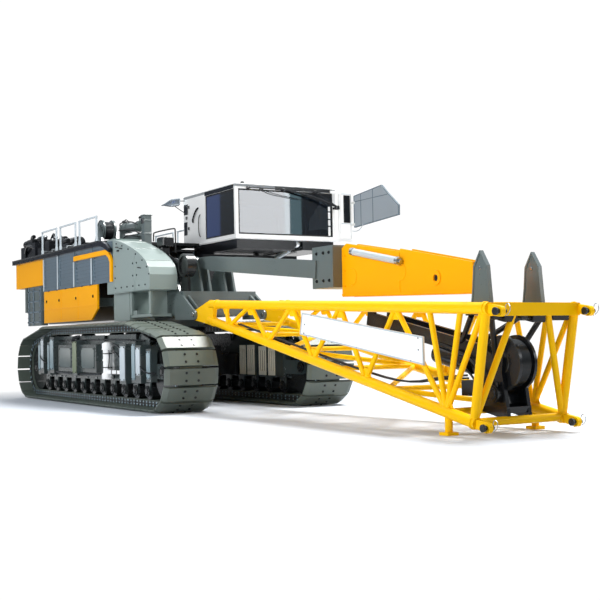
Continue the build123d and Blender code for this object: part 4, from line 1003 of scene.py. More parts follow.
def makeWallParts():
    parts = [insetFaces(startBlock(low, high, 0.01), (0, -1, 0), 0.03, -0.006) for low, high in wallParts.values()]
    parts += [startPipe(*pipe) for pipe in wallPipes.values()]
    finishPiece(parts, "cab_wall_parts", "darkPaint", "cab")
    trim = [startBlock(*block) for blocks in cabTrim.values() for block in blocks]
    finishPiece(trim, "cab_trim", "whitePaint", "cab")
    rib = roundEdges(startBlock(roofRibs["low"], roofRibs["high"]), 0.008)
    ribs = copiedTo(rib, [(x, 0, 0) for x in roofRibs["xs"]])
    finishPiece(ribs, "cab_roof_ribs", "whitePaint", "cab")


makeWallParts()

cushions = {
    # low, high, crown, axis of the crown; x and y from the seat's middle, z from the ground
    "seat_cushion": ((-0.24, -0.25, 5.43), (0.28, 0.25, 5.53), 0.03, 2),
    "seat_back": ((-0.36, -0.25, 5.54), (-0.26, 0.25, 6.12), 0.03, 0),
    "seat_headrest": ((-0.35, -0.13, 6.14), (-0.27, 0.13, 6.30), 0.02, 0),
}
seat = {
    # x and y from the seat's middle, z from the ground
    "place": (0.95, 2.5, 0), "column": [(0, 0), (0, 0.20), (0.03, 0.18), (0.08, 0.09), (0.30, 0.07), (0.30, 0)],
    "columnLow": 5.085, "shell": ((-0.22, -0.22, 5.36), (0.24, 0.22, 5.43), 0.02),
    "back": ((-0.40, -0.18, 5.45), (-0.36, 0.18, 6.16), 0.02),
    "armrest": ((-0.20, 0.28, 5.66), (0.22, 0.38, 5.72), 0.02),
    "armStay": ([(-0.34, 0.24, 5.55), (-0.30, 0.33, 5.6), (-0.1, 0.33, 5.68)], 0.02),
    "stick": ([(0.16, 0.33, 5.70), (0.17, 0.33, 5.80), (0.18, 0.33, 5.87)], 0.014),
    "knob": ([(0, 0), (0, 0.018), (0.04, 0.026), (0.07, 0.018), (0.075, 0)], (0.18, 0.33, 5.86)),
}
controls = {"console": ((0.85, 2.90, 5.085), (1.37, 3.12, 5.68), 0.03),
            "screen": ((1.55, 3.05, 5.72), (1.60, 3.45, 6.02), 0.015),
            "stand": ([(1.6, 3.25, 5.1), (1.62, 3.25, 5.4), (1.60, 3.25, 5.72)], 0.02)}
pad = {"cuts": 7, "rimPull": 0.02, "rimPower": 6, "seamAt": 2.2, "seamNarrow": 18, "seamDeep": 0.008, "fill": 0.8}


def fromSeat(point, side=1):
    return Vector(seat["place"]) + Vector((point[0], side * point[1], point[2]))


def makeCushion(name, low, high, crown, crownAxis):
    # a crowned pad: subdivided block, its broad faces pushed out, its rim pulled in
    low, high = fromSeat(low), fromSeat(high)
    piece = startBlock(low, high)
    makeActive(piece)
    editAll()
    bpy.ops.mesh.subdivide(number_cuts=pad["cuts"])
    bpy.ops.object.mode_set(mode="OBJECT")
    middle, half = (low + high) / 2, (high - low) / 2
    for vertex in piece.data.vertices:
        share = [(vertex.co[axis] - middle[axis]) / half[axis] for axis in range(3)]
        a, b = [share[axis] for axis in range(3) if axis != crownAxis]
        swell = crown * (1 - a ** 2) * (1 - b ** 2) - pad["rimPull"] * max(abs(a), abs(b)) ** pad["rimPower"]
        seam = math.exp(-((a * pad["seamAt"]) ** 2 - 1) ** 2 * pad["seamNarrow"])
        vertex.co[crownAxis] += share[crownAxis] * (swell - pad["seamDeep"] * seam)
    roundEdges(piece, 0.014, 2, 50)
    soft = piece.modifiers.new("soft", "SUBSURF")
    soft.levels = soft.render_levels = 1
    bpy.ops.object.modifier_apply(modifier="soft")
    finishPiece(piece, name, "seatCloth", "cab", 60)


def makeSeat():
    for name, row in cushions.items():
        makeCushion(name, *row)
    parts = []
    for low, high, edge in (seat["shell"], seat["back"]):
        parts.append(startBlock(fromSeat(low), fromSeat(high), edge))
    parts.append(startSpin(seat["column"], fromSeat((0, 0, seat["columnLow"])), (0, 0, 1), 20))
    for side in ways:
        low, high, edge = seat["armrest"]
        parts.append(startBlock(fromSeat(low, side), fromSeat(high, side), edge))
        for route, radius in (seat["armStay"], seat["stick"]):
            parts.append(startPipe([fromSeat(point, side) for point in route], radius))
        profile, place = seat["knob"]
        parts.append(startSpin(profile, fromSeat(place, side), (0, 0, 1), 14))
    parts.append(insetFaces(startBlock(*controls["console"]), (0, 0, 1), 0.03, -0.01))
    parts.append(insetFaces(startBlock(*controls["screen"]), (-1, 0, 0), 0.02, -0.008))
    parts.append(startPipe(*controls["stand"]))
    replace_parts(finishPiece(parts, "seat_frame", "darkPaint", "cab"), "cab_seat")


makeSeat()

doorTrim = {
    # handle: route, radius; lock and rollers: profile, places
    "handle": ([(0.48, 4.95, 5.55), (0.48, 4.995, 5.57), (0.48, 4.995, 5.85), (0.48, 4.95, 5.87)], 0.012),
    "lock": ([(0, 0), (0, 0.03), (0.015, 0.028), (0.015, 0)], [(0.415, 4.953, 5.48)]),
    "rollers": ([(0, 0), (0, 0.03), (0.02, 0.03), (0.02, 0)], [(0.50, 4.953, 6.47), (1.32, 4.953, 6.47)]),
}
folded = {
    # the mesh panel: outline and seams as x and z; skin, rim and seam bars on both faces
    "faces": (5.5, 5.53), "skin": 0.006, "rim": 0.016, "seam": 0.013,
    "outline": [(2.56, 5.40), (2.56, 6.40), (4.10, 6.56), (4.46, 6.25), (4.98, 5.85), (4.98, 5.56)],
    "seams": [((3.62, 5.49), (3.62, 6.50)), ((2.60, 6.22), (4.42, 6.24)), ((2.95, 5.43), (2.95, 6.43))],
    "slot": ((2.37, 5.20, 5.55), (2.41, 5.44, 6.44), 0.01),
    "braces": ([(2.42, 5.10, 5.52), (2.42, 5.47, 5.52)], [(2.42, 5.10, 6.47), (2.42, 5.47, 6.47)],
               [(2.40, 5.52, 5.30), (2.7, 5.49, 5.24), (3.0, 5.47, 5.34), (3.1, 5.47, 5.46)]),
}


def makeDoorAndPanel():
    parts = [startPipe(*doorTrim["handle"])]
    for profile, places in (doorTrim["lock"], doorTrim["rollers"]):
        parts += [startSpin(profile, place, (0, 1, 0), 16) for place in places]
    finishPiece(parts, "door_handle", "darkPaint", "cab_door")
    skins, bars = [], []
    rows = [(folded["rim"], pair) for pair in closedPairs(folded["outline"])]
    rows += [(folded["seam"], pair) for pair in folded["seams"]]
    for way, face in zip(ways, folded["faces"]):
        skins.append(startPlate([(x, face, z) for x, z in folded["outline"]], (0, way * folded["skin"], 0)))
        y = face + way * folded["skin"]
        bars += [startPipe([(x, y, z) for x, z in pair], radius, 1, False) for radius, pair in rows]
    finishPiece(skins, "panel_mesh", "meshPaint", "cab")
    finishPiece(bars, "panel_bars", "louvrePaint", "cab")
    slot = insetFaces(startBlock(*folded["slot"]), (1, 0, 0), 0.03, -0.01)
    finishPiece(slot, "catwalk_slot", "darkPaint", "cab")
    braces = [startPipe(route, 0.014, 1) for route in folded["braces"]]
    finishPiece(braces, "catwalk_braces", "railPaint", "cab")


makeDoorAndPanel()

tilt = {
    "foot": (0.45, 3.56, 4.40), "eye": (2.18, 3.56, 4.82), "glandAt": 1.185, "collarAt": 0.2, "portAt": 0.3,
    "gland": [(0, 0.055), (0, 0.098), (0.05, 0.098), (0.06, 0.088), (0.06, 0.055)],
    "collar": [(0, 0.084), (0, 0.094), (0.03, 0.094), (0.03, 0.084)], "port": (0.13, 0.07, 0.022),
    "boss": [(-0.059, 0.0), (-0.059, 0.082), (-0.05, 0.088), (0.05, 0.088), (0.059, 0.082), (0.059, 0.0)],
}


def makeTiltTrim():
    foot, eye = Vector(tilt["foot"]), Vector(tilt["eye"])
    along = (eye - foot).normalized()
    parts = [startSpin(tilt[part], foot + along * tilt[part + "At"], along, 24) for part in ("gland", "collar")]
    low, high, radius = tilt["port"]
    at = foot + along * tilt["portAt"]
    parts.append(startRound(at - Vector((0, 0, low)), at - Vector((0, 0, high)), radius, 12, 0.004))
    finishPiece(parts, "tilt_gland", "pinSteel", "tilt_barrel")
    boss = startSpin(tilt["boss"], eye, (0, 1, 0), 24)
    finishPiece(boss, "tilt_eye_boss", "chrome", "tilt_rod")


makeTiltTrim()
print("stage: cab dressed")


# Machinery house: louvre posts, panel seams and locks, deck machinery, housing bolts

house = {"face": 2.08, "louvreX": (-5.8, 0.8), "bays": 4}
posts = {
    # over the louvres; the near side's front ones end under the strip, and the end ones stand inwards
    "half": 0.05, "low": 3.67, "top": 4.788, "topLow": 4.48, "lowFrom": -2.6, "inwards": 0.05, "proud": 0.025,
    "thick": 0.016,
}
panelParts = {
    # lower panel: seams and ledge as x from and to, low z, high z, proud, edge; locks as x, z; hinges as x
    "seams": ((-3.912, -3.888, 2.60, 3.62, 0.008, 0.003), (-2.212, -2.188, 2.60, 3.62, 0.008, 0.003),
              (-5.72, -0.50, 3.004, 3.036, 0.012, 0.005)),
    "locks": ((-5.45, 3.3), (-4.1, 3.3), (-2.4, 3.3), (-0.8, 3.3)), "hinges": (-5.2, -4.3, -3.4, -2.7, -1.8, -1.0),
    "lock": [(0, 0), (0, 0.05), (0.012, 0.048), (0.012, 0.03), (0.006, 0.028), (0.006, 0)],
    "key": (0.008, 0.006, 0.03, 0.035), "hinge": (0.07, 0.014, 3.655, 0.018),
}


def makePosts():
    bays, face = [], house["face"]
    first, last = house["louvreX"]
    count = house["bays"]
    for side in ways:
        for number in range(count + (side < 0)):
            x = first + number * (last - first) / count
            x += {0: posts["inwards"], count: -posts["inwards"]}.get(number, 0)
            proud = posts["proud"] if 0 < number < count and (side < 0 or number < count - 1) else 0.0
            top = posts["topLow"] if side < 0 and x > posts["lowFrom"] else posts["top"]
            bays.append(startBlock((x - posts["half"], side * (face + proud), posts["low"]),
                                   (x + posts["half"], side * (face + proud + posts["thick"]), top), 0.006))
    finishPiece(bays, "louvre_posts", "railPaint", "superstructure")


def makePanelDetail():
    locks, seams, face = [], [], house["face"]
    for side in ways:
        for x0, x1, z0, z1, proud, edge in panelParts["seams"]:
            seams.append(startBlock((x0, side * face, z0), (x1, side * (face + proud), z1), edge))
        wide, low, proud, high = panelParts["key"]
        for x, z in panelParts["locks"]:
            locks.append(startSpin(panelParts["lock"], (x, side * face, z), (0, side, 0), 20))
            locks.append(startBlock((x - wide, side * (face + low), z - high),
                                    (x + wide, side * (face + proud), z + high), 0.004))
        half, out, z, radius = panelParts["hinge"]
        locks += [startRound((x - half, side * (face + out), z), (x + half, side * (face + out), z), radius, 10, 0.004)
                  for x in panelParts["hinges"]]
    finishPiece(seams, "panel_seams", "orangePaint", "superstructure")
    finishPiece(locks, "panel_locks", "darkSteel", "superstructure")


makePosts()
makePanelDetail()

stack = {
    # frame on the cooler stack: bars as x, shelves as z, bolts over the lower shelves
    "x": (-7.69, -6.06), "z": (2.51, 3.87), "face": 2.06, "thick": 0.03, "shelfBack": 0.012,
    "bars": (-7.55, -7.0, -6.2),
    "barHalf": 0.06, "shelves": (2.62, 2.98, 3.36, 3.72), "shelfHalf": 0.03, "boltOut": 0.034, "boltUp": 0.15,
}


def makeStackDetail():
    parts, bolts = [], []
    (first, last), (low, high) = stack["x"], stack["z"]
    for side in ways:
        near, far = side * stack["face"], side * (stack["face"] + stack["thick"])
        for x in stack["bars"]:
            parts.append(startBlock((x - stack["barHalf"], near, low), (x + stack["barHalf"], far, high), 0.01))
            bolts += [((x, side * (stack["face"] + stack["boltOut"]), z + stack["boltUp"]), (0, side, 0))
                      for z in stack["shelves"][:3]]
        # the left side's shelves stand back from the bars
        front = far - stack["shelfBack"] if side > 0 else near
        back = near if side > 0 else far
        parts += [startBlock((first, back, z - stack["shelfHalf"]), (last, front, z + stack["shelfHalf"]), 0.008)
                  for z in stack["shelves"]]
    finishPiece(parts, "stack_frames", "louvrePaint", "superstructure")
    finishPiece(boltsAt(0.024, 0.022, bolts), "stack_bolts", "pinSteel", "superstructure")


makeStackDetail()

deckGear = {
    # pipes and hoses in the rear engine cluster: route, radius
    "exhaustBend": ([(-8.62, -1.60, 5.72), (-8.62, -1.60, 5.80), (-8.52, -1.60, 5.85), (-8.40, -1.60, 5.84)], 0.075),
    "airPipe": ([(-8.9, -1.4, 5.38), (-9.05, -1.45, 5.5), (-9.0, -1.7, 5.62), (-8.7, -1.85, 5.60)], 0.06),
    "chargePipe": ([(-8.3, -1.95, 5.20), (-8.0, -2.02, 5.42), (-7.6, -2.0, 5.44), (-7.3, -1.9, 5.30)], 0.05),
    "coolantOne": ([(-7.6, -1.2, 5.68), (-7.4, -1.2, 5.86), (-7.0, -1.25, 5.84), (-6.8, -1.4, 5.30)], 0.045),
    "coolantTwo": ([(-7.2, -1.4, 5.50), (-7.0, -1.35, 5.66), (-6.6, -1.5, 5.60), (-6.4, -1.6, 5.46)], 0.04),
    "bundleOne": ([(-6.4, -1.95, 5.02), (-5.6, -1.98, 5.05), (-4.8, -1.96, 5.04), (-4.0, -1.98, 5.06),
                   (-3.0, -1.95, 5.03)], 0.03),
    "bundleTwo": ([(-6.4, -1.86, 5.02), (-5.4, -1.88, 5.06), (-4.6, -1.86, 5.03), (-3.6, -1.9, 5.05),
                   (-2.6, -1.86, 5.03)], 0.026),
    "riser": ([(-5.7, -1.5, 5.48), (-5.62, -1.5, 5.62), (-5.45, -1.5, 5.58), (-5.3, -1.52, 5.30)], 0.04),
    "crossPipe": ([(-8.1, -1.1, 5.68), (-8.1, -0.6, 5.72), (-8.1, 0.2, 5.70), (-8.1, 0.5, 5.40)], 0.06),
}
canisters = {
    # air filters and tanks along X: from x, to x, y, z, radius
    "filterOne": (-8.85, -8.45, -1.75, 5.56, 0.14), "filterTwo": (-7.55, -7.15, -1.65, 5.64, 0.12),
    "filterThree": (-6.30, -5.95, -1.20, 5.56, 0.11), "tank": (-5.1, -4.7, -1.52, 5.38, 0.10),
    "smallTank": (-4.35, -4.05, -1.52, 5.33, 0.09), "silencer": (-8.7, -7.3, -0.2, 5.60, 0.22),
}
canisterShape = {"ribs": 4, "dome": 0.03, "domeTop": 0.8, "ribHalf": 0.02, "ribOut": 1.06}
boxTops = {
    # ribs on the deck boxes: first x, last x, first y, last y, top z, ribs
    "rearBox": (-8.25, -7.65, -1.90, -1.10, 5.68, 5), "secondBox": (-6.35, -5.85, -1.85, -1.25, 5.48, 4),
    "wideBox": (-6.6, -5.4, -0.70, 1.5, 5.26, 6), "longBox": (-4.9, -2.6, 0.20, 1.7, 5.20, 8),
    "backBox": (-8.8, -7.2, -0.9, 0.9, 5.38, 6),
}
topRib = {"half": 0.02, "ends": 0.04, "high": 0.018, "lip": 0.012, "lipLow": 0.05, "lipHigh": 0.02}
clamps = {
    "xs": (-5.9, -5.0, -4.2, -3.4, -2.8), "low": (-0.04, -2.03, 4.96), "high": (0.04, -1.82, 5.10),
    "caps": ((-8.62, -1.60, 5.66), (-7.95, -1.30, 5.80), (-7.35, -1.70, 5.66), (-6.15, -1.50, 5.60)),
    "cap": [(0, 0), (0, 0.078), (0.03, 0.078), (0.06, 0.055), (0.06, 0)],
}


def makeDeckGear():
    gear = [startPipe(route, radius) for route, radius in deckGear.values()]
    dome, top, half, out, count = [canisterShape[part] for part in ("dome", "domeTop", "ribHalf", "ribOut", "ribs")]
    for first, last, y, z, radius in canisters.values():
        long = last - first
        ribbed = [(0, 0), (0, radius * top), (dome, radius)]
        for number in range(count):
            at = dome + (long - 2 * dome) * (number + 0.5) / count
            ribbed += [(at - half, radius), (at, radius * out), (at + half, radius)]
        ribbed += [(long - dome, radius), (long, radius * top), (long, 0)]
        gear.append(startSpin(ribbed, (first, y, z), (1, 0, 0), 18))
    half, ends, lip = topRib["half"], topRib["ends"], topRib["lip"]
    for x0, x1, y0, y1, top, count in boxTops.values():
        for number in range(count):
            x = x0 + (number + 0.5) * (x1 - x0) / count
            gear.append(startBlock((x - half, y0 + ends, top), (x + half, y1 - ends, top + topRib["high"]), 0.005))
        gear.append(startBlock((x0 - lip, y0 - lip, top - topRib["lipLow"]),
                               (x1 + lip, y1 + lip, top - topRib["lipHigh"]), 0.006))
    finishPiece(gear, "deck_gear", "darkPaint", "superstructure")
    low, high = Vector(clamps["low"]), Vector(clamps["high"])
    parts = [startBlock(low + Vector((x, 0, 0)), high + Vector((x, 0, 0)), 0.01) for x in clamps["xs"]]
    parts += [startSpin(clamps["cap"], place, (0, 0, 1), 16) for place in clamps["caps"]]
    finishPiece(parts, "deck_clamps", "pinSteel", "superstructure")


makeDeckGear()

columnPipes = {
    "pullFeed": ([(-0.95, -1.10, 5.52), (-0.8, -1.20, 5.60), (-0.2, -1.20, 5.60), (0.35, -1.16, 5.54),
                  (0.55, -1.12, 5.44)], 0.020),
    "pullReturn": ([(-1.0, -1.12, 5.40), (-0.7, -1.22, 5.36), (0.0, -1.22, 5.34), (0.5, -1.18, 5.26),
                    (0.72, -1.14, 5.16)], 0.020),
    "lowFeed": ([(-0.7, -1.10, 5.12), (-0.4, -1.18, 5.16), (0.3, -1.18, 5.14), (0.7, -1.13, 5.06)], 0.018),
    "cableLoop": ([(-1.05, -0.95, 5.58), (-1.0, -0.95, 5.72), (-0.7, -0.97, 5.74), (-0.5, -0.98, 5.62)], 0.016),
    "frontRail": ([(1.37, -0.95, 4.86), (1.37, -0.95, 5.08), (1.42, -0.95, 5.12), (2.2, -0.95, 5.12),
                   (2.92, -0.95, 5.11),
                   (2.97, -0.95, 5.06), (2.97, -0.95, 4.40)], 0.022),
}
column = {
    # bands: half x, half y, low z, high z, edge; collars on the two cylinders: x, z, bore, radius, length, fall, steps
    "x": 0.9, "y": -0.975,
    "bands": [(0.128, 0.123, z, z + 0.05, 0.008) for z in (3.6, 4.1, 4.6, 5.1, 5.5)] + [(0.15, 0.14, 5.68, 5.71, 0.01)],
    "collars": [(x, 5.46 - (x + 0.98) / 1.55 * 0.05, 0.149, 0.172, 0.05, -0.032, 24)
                for x in (-0.86, -0.52, 0.32, 0.48)]
    + [(x, 5.115, 0.104, 0.122, 0.04, -0.018, 20) for x in (-0.7, 0.4)],
    "caps": ((-0.90, 5.64), (0.48, 5.64)), "cap": [(0, 0), (0, 0.075), (0.04, 0.08), (0.07, 0.06), (0.07, 0)],
    "plug": ((0.80, -1.12, 5.44), (0.98, -1.09, 5.60), 0.02),
}


def makeColumnDetail():
    pipes = [startPipe(*pipe) for pipe in columnPipes.values()]
    finishPiece(pipes, "column_pipes", "rubber", "superstructure")
    x, y = column["x"], column["y"]
    parts = [startBlock((x - dx, y - dy, low), (x + dx, y + dy, high), edge)
             for dx, dy, low, high, edge in column["bands"]]
    for at, z, bore, radius, long, fall, steps in column["collars"]:
        profile = [(0, bore), (0, radius), (long, radius), (long, bore)]
        parts.append(startSpin(profile, (at, y, z), (1, 0, fall), steps))
    finishPiece(parts, "column_trim", "greyPaint", "superstructure")
    caps = [startSpin(column["cap"], (at, y, z), (0, 0, 1), 16) for at, z in column["caps"]]
    finishPiece([*caps, startBlock(*column["plug"])], "column_caps", "darkPaint", "superstructure")


makeColumnDetail()

housing = {
    "crown": ((0.97, 4.90), (1.5, 4.81), (1.88, 4.71), (2.45, 4.54), (3.0, 4.34), (3.4, 4.13), (3.64, 3.93),
              (3.72, 3.72)),
    "y": (-2.08, -1.25), "seamsAt": (1, 3, 5), "boltFall": 0.09,
    "bolts": [(x, 3.45) for x in (1.15, 1.6, 2.05, 2.5, 2.95, 3.4)] + [(x, z) for x in (1.12, 2.50, 2.78)
                                                                       for z in (3.75, 4.1)],
    # upright and lower seams on the outer face: x from and to, z from and to
    "seams": ((0.985, 1.02, 3.34, 4.86), (2.62, 2.655, 3.32, 4.40), (0.99, 3.70, 3.32, 3.36)),
    "legs": (((1.85, -1.92, 2.64), (1.95, -1.84, 3.30)), ((3.25, -1.92, 2.64), (3.35, -1.84, 3.30))),
    "grips": ((1.22, 4.66), (1.52, 4.60), (2.9, 3.95)),
    "grip": ((0, 0, 0), (0, 0.05, 0.01), (0.18, 0.05, -0.01), (0.18, 0, -0.02)),
}
housingFittings = {
    # a plate on the outer face, then what lies between housing and cab: valve block, hose and drum guard
    "plate": ((1.28, -2.10, 4.52), (1.46, -2.079, 4.58), 0.008),
    "valve": ((2.05, -1.15, 4.62), (2.55, -0.80, 4.90), 0.03),
    "tray": ((0.98, -1.10, 4.30), (2.30, -0.82, 4.62), 0.03),
}
housingHose = ([(1.30, -0.95, 4.66), (1.9, -0.95, 4.52), (2.6, -0.95, 4.30), (3.3, -0.95, 4.02)], 0.045)
guide = {
    "place": (3.75, -0.95, 3.98), "rim": [(-0.14, 0.26), (-0.14, 0.33), (0.14, 0.33), (0.14, 0.26)],
    "disc": [(-0.10, 0.0), (-0.10, 0.26), (0.10, 0.26), (0.10, 0.0)],
    "stand": ([(3.35, -0.99, 3.25), (3.88, -0.99, 3.25), (3.85, -0.99, 4.0), (3.65, -0.99, 4.0)], (0, 0.08, 0)),
}


def makeHousingDetail():
    outer, inner = housing["y"]
    crown = housing["crown"]
    # rolled edges along the crown and seams across it
    rim = [startPipe([(x, y, z) for x, z in crown], 0.016, 1) for y in (outer + 0.012, inner - 0.012)]
    for x, z in [crown[index] for index in housing["seamsAt"]]:
        rim.append(startPipe([(x, outer + 0.01, z + 0.002), (x, inner - 0.01, z + 0.002)], 0.010, 1, False))
    rim += [startBlock((x0, outer - 0.012, z0), (x1, outer + 0.001, z1), 0.004) for x0, x1, z0, z1 in housing["seams"]]
    rim += [startBlock(low, high, 0.01) for low, high in housing["legs"]]
    # the seams take the housing's grey with its painted sheen
    finishPiece(rim, "housing_seams", "housingSheenGrey", "superstructure")
    spots = [((x0 + x1) / 2, (z0 + z1) / 2 - housing["boltFall"]) for (x0, z0), (x1, z1) in zip(crown, crown[1:])]
    bolts = boltsAt(0.020, 0.018, [((x, outer, z), (0, -1, 0)) for x, z in spots + housing["bolts"]])
    finishPiece(bolts, "housing_bolts", "darkSteel", "superstructure")
    grips = [startPipe([(x + dx, outer - out, z + dz) for dx, out, dz in housing["grip"]], 0.014)
             for x, z in housing["grips"]]
    grips += [startBlock(*block) for block in housingFittings.values()]
    finishPiece([*grips, startPipe(*housingHose)], "housing_fittings", "darkPaint", "superstructure")
    wheels = [startSpin(guide[part], guide["place"], (0, 1, 0), 28) for part in ("rim", "disc")]
    finishPiece([*wheels, startPlate(*guide["stand"])], "guide_sheave", "darkSteel", "superstructure")


makeHousingDetail()

railFeet = {"xs": {-1: (-5.67, -4.13, -3.71, -2.20, -1.82, -0.26), 1: (-5.67, -4.13, -3.71, -2.20)}, "y": 2.14}
deckEdge = {"front": -0.04, "rear": -9.2, "left": -2.16, "side": 2.20, "lip": (4.93, 4.964), "out": 0.012, "in": 0.001,
            "boltZ": 4.87, "boltXs": [-9.0 + 0.6 * number for number in range(15)], "boltYs": (-1.8, -0.9, 0, 0.9, 1.8)}


def makeDeckTrim():
    foot = roundEdges(startBlock((-0.06, -0.05, 4.96), (0.06, 0.05, 4.975)), 0.004, 1)
    sleeve = startRound((0, 0, 4.97), (0, 0, 5.10), 0.042, 14, 0.005)
    places = [(x, side * railFeet["y"], 0) for side in ways for x in railFeet["xs"][side]]
    finishPiece(copiedTo(joined([foot, sleeve]), places), "rail_feet", "railPaint", "superstructure")
    low, high = deckEdge["lip"]
    rear, across, out, inside = deckEdge["rear"], deckEdge["side"], deckEdge["out"], deckEdge["in"]
    lips, seats = [], []
    for side, end in ((-1, deckEdge["front"]), (1, deckEdge["left"])):
        lips.append(startBlock((rear, side * (across - inside), low), (end, side * (across + out), high), 0.005))
        seats += [((x, side * across, deckEdge["boltZ"]), (0, side, 0)) for x in deckEdge["boltXs"] if x < end]
    lips.append(startBlock((rear - out, -across, low), (rear + inside, across, high), 0.005))
    seats += [((rear, y, deckEdge["boltZ"]), (-1, 0, 0)) for y in deckEdge["boltYs"]]
    finishPiece([*lips, boltsAt(0.016, 0.014, seats)], "deck_lips", "darkSteel", "superstructure")


makeDeckTrim()

rearDoors = {
    # doors as y; handle and hinges from the door's middle
    "ys": (-1.3, 0.0, 1.3), "low": (-9.118, -0.52, 4.0), "high": (-9.099, 0.52, 4.8),
    "handle": ((-9.112, 0.36, 4.30), (-9.15, 0.36, 4.32), (-9.15, 0.36, 4.48), (-9.112, 0.36, 4.50)),
    "hinges": (4.15, 4.65), "hinge": (-9.125, -0.52, 0.05, 0.014),
}
rearRibs = {
    # cross ribs as z and uprights as y on the rear end frame: low, high, edge
    "cross": ((2.75, 3.1, 3.45, 3.75), (-9.058, -1.48, -0.03), (-9.039, 1.48, 0.03), 0.006),
    "upright": ((-1.4, -0.7, 0.0, 0.7, 1.4), (-9.066, -0.04, 2.62), (-9.039, 0.04, 3.87), 0.008),
}


def makeRearDoors():
    doors, handles, ribs = [], [], []
    for y in rearDoors["ys"]:
        push = Vector((0, y, 0))
        door = startBlock(push + Vector(rearDoors["low"]), push + Vector(rearDoors["high"]), 0.006)
        doors.append(insetFaces(door, (-1, 0, 0), 0.05, -0.006))
        handles.append(startPipe([push + Vector(point) for point in rearDoors["handle"]], 0.011))
        x, across, half, radius = rearDoors["hinge"]
        handles += [startRound((x, y + across, z - half), (x, y + across, z + half), radius, 10, 0.003)
                    for z in rearDoors["hinges"]]
    for way, (steps, low, high, edge) in zip((Vector((0, 0, 1)), Vector((0, 1, 0))), rearRibs.values()):
        ribs += [startBlock(way * step + Vector(low), way * step + Vector(high), edge) for step in steps]
    finishPiece(doors, "rear_doors", "orangePaint", "superstructure")
    finishPiece(ribs, "rear_frame_ribs", "greyPaint", "superstructure")
    finishPiece(handles, "rear_handles", "darkSteel", "superstructure")


makeRearDoors()
print("stage: house dressed")


# Undercarriage: covers, posts and pipes on the side frames, jack rings, carbody and ring bolts

trackY = belt["trackY"]
sideCovers = {
    # outer face covers: middle x, width, low z, high z, face from the track's middle, finish
    "rearPost": (-4.60, 0.20, 0.95, 1.85, 0.52, "coverPaint"), "rearTall": (-4.15, 0.24, 1.00, 2.00, 0.57, "railPaint"),
    "secondPost": (-3.70, 0.18, 0.95, 1.85, 0.50, "coverPaint"),
    "rearBox": (-3.20, 0.34, 1.00, 1.98, 0.55, "coverPaint"),
    "panelRear": (-2.05, 1.10, 1.08, 1.70, 0.48, "greyPaint"),
    "olivePost": (-0.90, 0.34, 0.92, 1.90, 0.57, "olivePaint"),
    "panelFront": (0.05, 1.10, 1.08, 1.70, 0.48, "greyPaint"), "tallLight": (3.15, 0.36, 0.78, 1.74, 0.59, "railPaint"),
    "bluePlate": (3.78, 0.22, 0.82, 1.80, 0.52, "coverPaint"), "blueBox": (4.25, 0.28, 0.95, 1.70, 0.58, "railPaint"),
    "frontBox": (4.80, 0.24, 0.86, 1.60, 0.51, "coverPaint"),
}
innerCovers = {
    # inner face covers, ribbed: middle x, width, low z, high z, face
    "one": (2.25, 0.38, 0.82, 1.70, 0.53), "two": (2.85, 0.44, 0.82, 1.70, 0.57),
    "three": (3.50, 0.44, 0.82, 1.66, 0.53),
    "four": (4.12, 0.38, 0.82, 1.64, 0.57),
}
coverShape = {"thick": 0.022, "rim": 0.03, "push": -0.010, "bolt": 0.016, "boltInset": 0.03, "boltSeat": 0.02}
innerRib = {"shares": (-0.42, -0.14, 0.14, 0.42), "half": 0.03, "ends": 0.10, "band": 0.12, "proud": 0.03,
            "ground": 0.006}


def makeSideCovers():
    byFinish = {}
    for x, wide, low, high, face, finish in sideCovers.values():
        for side in ways:
            near = side * (trackY + face)
            far = near + side * coverShape["thick"]
            cover = startBlock((x - wide / 2, near, low), (x + wide / 2, far, high), 0.008)
            cover = insetFaces(cover, (0, side, 0), coverShape["rim"], coverShape["push"])
            byFinish.setdefault(finish, []).append(cover)
    for finish, covers in byFinish.items():
        finishPiece(covers, "side_covers_" + finish, finish, "undercarriage")
    ribs, slots = [], []
    band, half, ends = innerRib["band"], innerRib["half"], innerRib["ends"]
    for x, wide, low, high, face in innerCovers.values():
        for side in ways:
            near = side * (trackY - face)
            proud, ground = [near - side * innerRib[part] for part in ("proud", "ground")]
            rows = [(x - wide / 2, x + wide / 2, low, low + band), (x - wide / 2, x + wide / 2, high - band, high)]
            rows += [(x + share * wide - half, x + share * wide + half, low + ends, high - ends)
                     for share in innerRib["shares"]]
            ribs += [startBlock((x0, proud, z0), (x1, near, z1), 0.008) for x0, x1, z0, z1 in rows]
            slots.append(startBlock((x - wide / 2, ground, low), (x + wide / 2, near, high), 0.002))
    finishPiece(ribs, "inner_ribs", "creamPaint", "undercarriage")
    finishPiece(slots, "inner_slots", "darkPaint", "undercarriage")


makeSideCovers()

